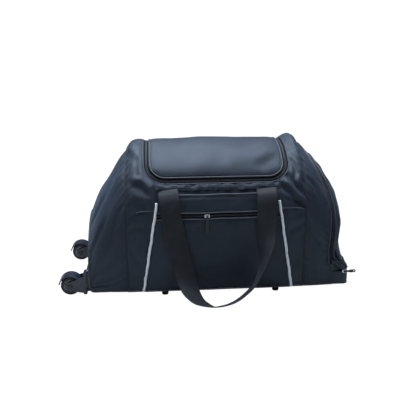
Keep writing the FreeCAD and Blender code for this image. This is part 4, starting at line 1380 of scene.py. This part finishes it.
# %% Handle route
WEB_HALF = 23.0
WEB_THICK = 2.4
WEB_OUT = np.array((-0.125, -0.895, 0.428))     # the way the strap leans from the wall
WEB_ROUTE = np.array([                          # x, y, height and roll in degrees
    (-113, -139.5, 251, 0), (-112, -151, 240, 0), (-110, -159, 222, 0), (-106, -161, 190, 0),
    (-98, -162, 150, 2), (-89, -164, 116, 6), (-82, -168, 80, 12), (-74, -178, 48, 24),
    (-65, -194, 27, 42), (-53, -214, 16, 62), (-38, -231, 13, 78), (-18, -241, 12.4, 90),
    (8, -236, 13, 86), (34, -221, 16, 83), (58, -207, 27, 81), (77, -198, 44, 80),
    (88, -192, 66, 76), (96, -186, 92, 62), (102, -179, 120, 42), (106, -172, 148, 18),
    (108, -166, 176, 6), (109, -161, 204, 0), (109, -158, 224, 0), (109, -151, 240, 0),
    (109, -139.5, 251, 0)], float)


def smooth_route(rows, steps):
    """A Catmull-Rom curve through the rows, with any number of columns."""
    padded = np.concatenate([rows[:1] * 2 - rows[1:2], rows, rows[-1:] * 2 - rows[-2:-1]])
    out = []
    for i in range(len(rows) - 1):
        a, b, c, d = padded[i:i + 4]
        t = np.linspace(0, 1, steps, endpoint=False)[:, None]
        out.append(0.5 * (2 * b + (c - a) * t + (2 * a - 5 * b + 4 * c - d) * t ** 2
                          + (3 * b - a - 3 * c + d) * t ** 3))
    return np.concatenate(out + [rows[-1:]])


def strap_points(route):
    """Closed rings of a flat strap, and their cloth metres."""
    line = smooth_route(route, 10)
    centre, roll = line[:, :3], np.radians(line[:, 3])[:, None]
    along = unit(np.gradient(centre, axis=0))
    out = unit(WEB_OUT - along * (along @ WEB_OUT)[:, None])
    inward = np.cross(along, out)
    wide = inward * np.cos(roll) + out * np.sin(roll)
    thick = np.cross(along, wide)
    across = np.linspace(-1, 1, 15)
    crown = WEB_THICK / 2 * (1 - 0.55 * across ** 8)
    length = distances(centre)
    cup = 0.9 * np.sin(length / 61.0)[:, None] * (across ** 2 - 0.4)[None, :]
    ring_w = np.concatenate([across, across[::-1], across[:1]]) * WEB_HALF
    ring_t = np.concatenate([crown, -crown, crown[:1]])
    cup = np.concatenate([cup, cup[:, ::-1], cup[:, :1]], axis=1)
    points = (centre[:, None] + wide[:, None] * ring_w[None, :, None]
              + thick[:, None] * (ring_t[None, :] + cup)[..., None])
    cloth = np.stack(np.broadcast_arrays(length[:, None], ring_w[None, :]), axis=-1) / 1000
    return points, cloth, length[-1]


def make_handle(name, turn):
    points, cloth, length = strap_points(WEB_ROUTE)
    points, cloth = points[:, :-1] * turn, cloth[:, :-1]
    faces = ring_faces(*points.shape[:2])
    print(name, "webbing length", round(length), "mm")
    return finish_mesh(name, points.reshape(-1, 3), faces, cloth.reshape(-1, 2), [WEBBING],
                       [0] * len(faces))


# %% [markdown]
# The handle is sewn into the seam, its last centimetres held by the stitching. Each strap
# is laid in place as drawn, and the plain handle it stands for is hidden. The rear one is
# the front one turned half round.

# %% Handles and their sewn ends
def sew_on(piece, body):
    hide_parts(body)
    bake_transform(piece)


sew_on(make_handle("front_handle", (1, 1, 1)), "front_carry_handle")
sew_on(make_handle("rear_handle", (-1, -1, 1)), "rear_carry_handle")

# %% [markdown]
# ## Hard parts
# Wheels, forks, tubes, sliders and boards come straight from the engineering model: their
# shapes are right, and only their surfaces need work. Each gets the finish named by its
# slot in the record.

# %% Finishes for the modelled parts
SLOT_FINISH = {
    "polyester": POLYESTER, "zip_tape": ZIP_TAPE, "white_piping": WHITE_BRAID, "webbing": WEBBING,
    "lining": LINING, "foam_tray": FOAM, "hardboard": HARDBOARD, "black_base_sheet": BASE_SHEET,
    "grey_plastic": GREY_PLASTIC, "black_plastic": BLACK_PLASTIC, "button_plastic": BUTTON_PLASTIC,
    "hub_plastic": HUB_PLASTIC, "aluminium_tube": ALUMINIUM, "dark_metal": DARK_METAL,
    "zip_metal": ZIP_METAL, "foot_rubber": FOOT_RUBBER, "wheel_tyre": RUBBER}


def paint_modelled_parts():
    """Gives every shown part of the model the finish of its slot in the record."""
    painted = 0
    for part in frame["record"]["subparts"]:
        node = frame["nodes"][part["node"]]
        if not node.hide_render:
            node.data.materials.clear()
            node.data.materials.append(SLOT_FINISH[part["material_slot"]])
            painted += 1
    return painted


print("modelled parts painted:", paint_modelled_parts())

# %% [markdown]
# ## Floor and light
# A bag this dark disappears under ordinary light. One wide softbox overhead paints the
# lid and shoulders, and the sides are left to a low fill and to what the pale floor sends
# back. The background is a plain white sweep, brighter for the eye than for the bag, so
# that the sides stay deep.

# %% Floor
def make_floor():
    mesh = bpy.data.meshes.new("floor")
    reach = 30.0
    corners = [(-reach, -reach, 0), (reach, -reach, 0), (reach, reach, 0), (-reach, reach, 0)]
    mesh.from_pydata(corners, [], [(0, 1, 2, 3)])
    f = Finish("pale_floor", {"Base Color": tint(0.52, 0.52, 0.52), "Roughness": 0.9})
    glow = f.node("ShaderNodeEmission", {}, {"Color": (1, 1, 1, 1), "Strength": 1.25})
    seen = f.node("ShaderNodeLightPath", {}, {})
    both = f.node("ShaderNodeMixShader", {}, {0: seen * 0.8, 2: glow})
    f.links.new(f.shader.outputs[0], both.socket.node.inputs[1])
    f.plug(f.nodes["Material Output"].inputs["Surface"], both)
    mesh.materials.append(f.material)
    floor = add_object("floor", mesh)
    print("floor reach", reach, "m")


make_floor()

# %% [markdown]
# The sky is white to the eye but gives the bag almost no light. The softbox overhead is
# large and cool, so its edge on the cloth is soft. The fill is small and far to the left.

# %% Sky and lamps
def make_sky(seen, felt):
    world = bpy.data.worlds.new("studio")
    bpy.context.scene.world = world
    world.use_nodes = True
    sky = Recipe(world.node_tree)
    by_eye = sky.node("ShaderNodeLightPath", {}, {})
    strength = sky.node("ShaderNodeMapRange", {}, {"Value": by_eye, "To Min": felt, "To Max": seen})
    sky.plug(sky.nodes["Background"].inputs["Color"], tint(1, 1, 1))
    sky.plug(sky.nodes["Background"].inputs["Strength"], strength)


def make_softbox(name, place, target, size, watts, colour):
    lamp = bpy.data.lights.new(name, "AREA")
    lamp.shape = "RECTANGLE"
    lamp.size, lamp.size_y = size
    lamp.energy = watts
    lamp.color = colour
    box = add_object(name, lamp)
    box.location = place
    box.rotation_mode = "QUATERNION"
    box.rotation_quaternion = (Vector(target) - Vector(place)).to_track_quat("-Z", "Y")
    print(name, watts, "W")


make_sky(1.12, 0.05)
make_softbox("overhead", (-0.1, 0.1, 1.5), (0, 0, 0.2), (1.25, 1.5), 66, (0.785, 0.885, 1.0))
make_softbox("front_fill", (-0.9, -1.9, 1.1), (0, 0, 0.15), (1.2, 0.8), 1.2, (0.85, 0.92, 1.0))

# %% [markdown]
# ## Camera
# The bag is seen from a little left of square on and from slightly above, about a metre
# and a half away, through a normal lens.

# %% Camera and view
SENSOR = 36.0


def make_camera(azimuth, elevation, distance, target, focal):
    """Looks at a target; focal is the lens's length as a share of the sensor's width."""
    a, e = math.radians(azimuth), math.radians(elevation)
    back = Vector((math.sin(a) * math.cos(e), -math.cos(a) * math.cos(e), math.sin(e)))
    camera = add_object("camera", bpy.data.cameras.new("camera"))
    camera.data.sensor_width = SENSOR
    camera.data.lens = SENSOR * focal
    camera.rotation_mode = "QUATERNION"
    camera.location = Vector(target) + back * distance
    camera.rotation_quaternion = back.to_track_quat("Z", "Y")
    bpy.context.scene.camera = camera
    print("lens", round(camera.data.lens, 1), "mm")


make_camera(-5.11, 16.57, 1.5, metre_point(-10.7, 0, 166.4), 1.4471)
bpy.context.scene.view_settings.view_transform = "Standard"
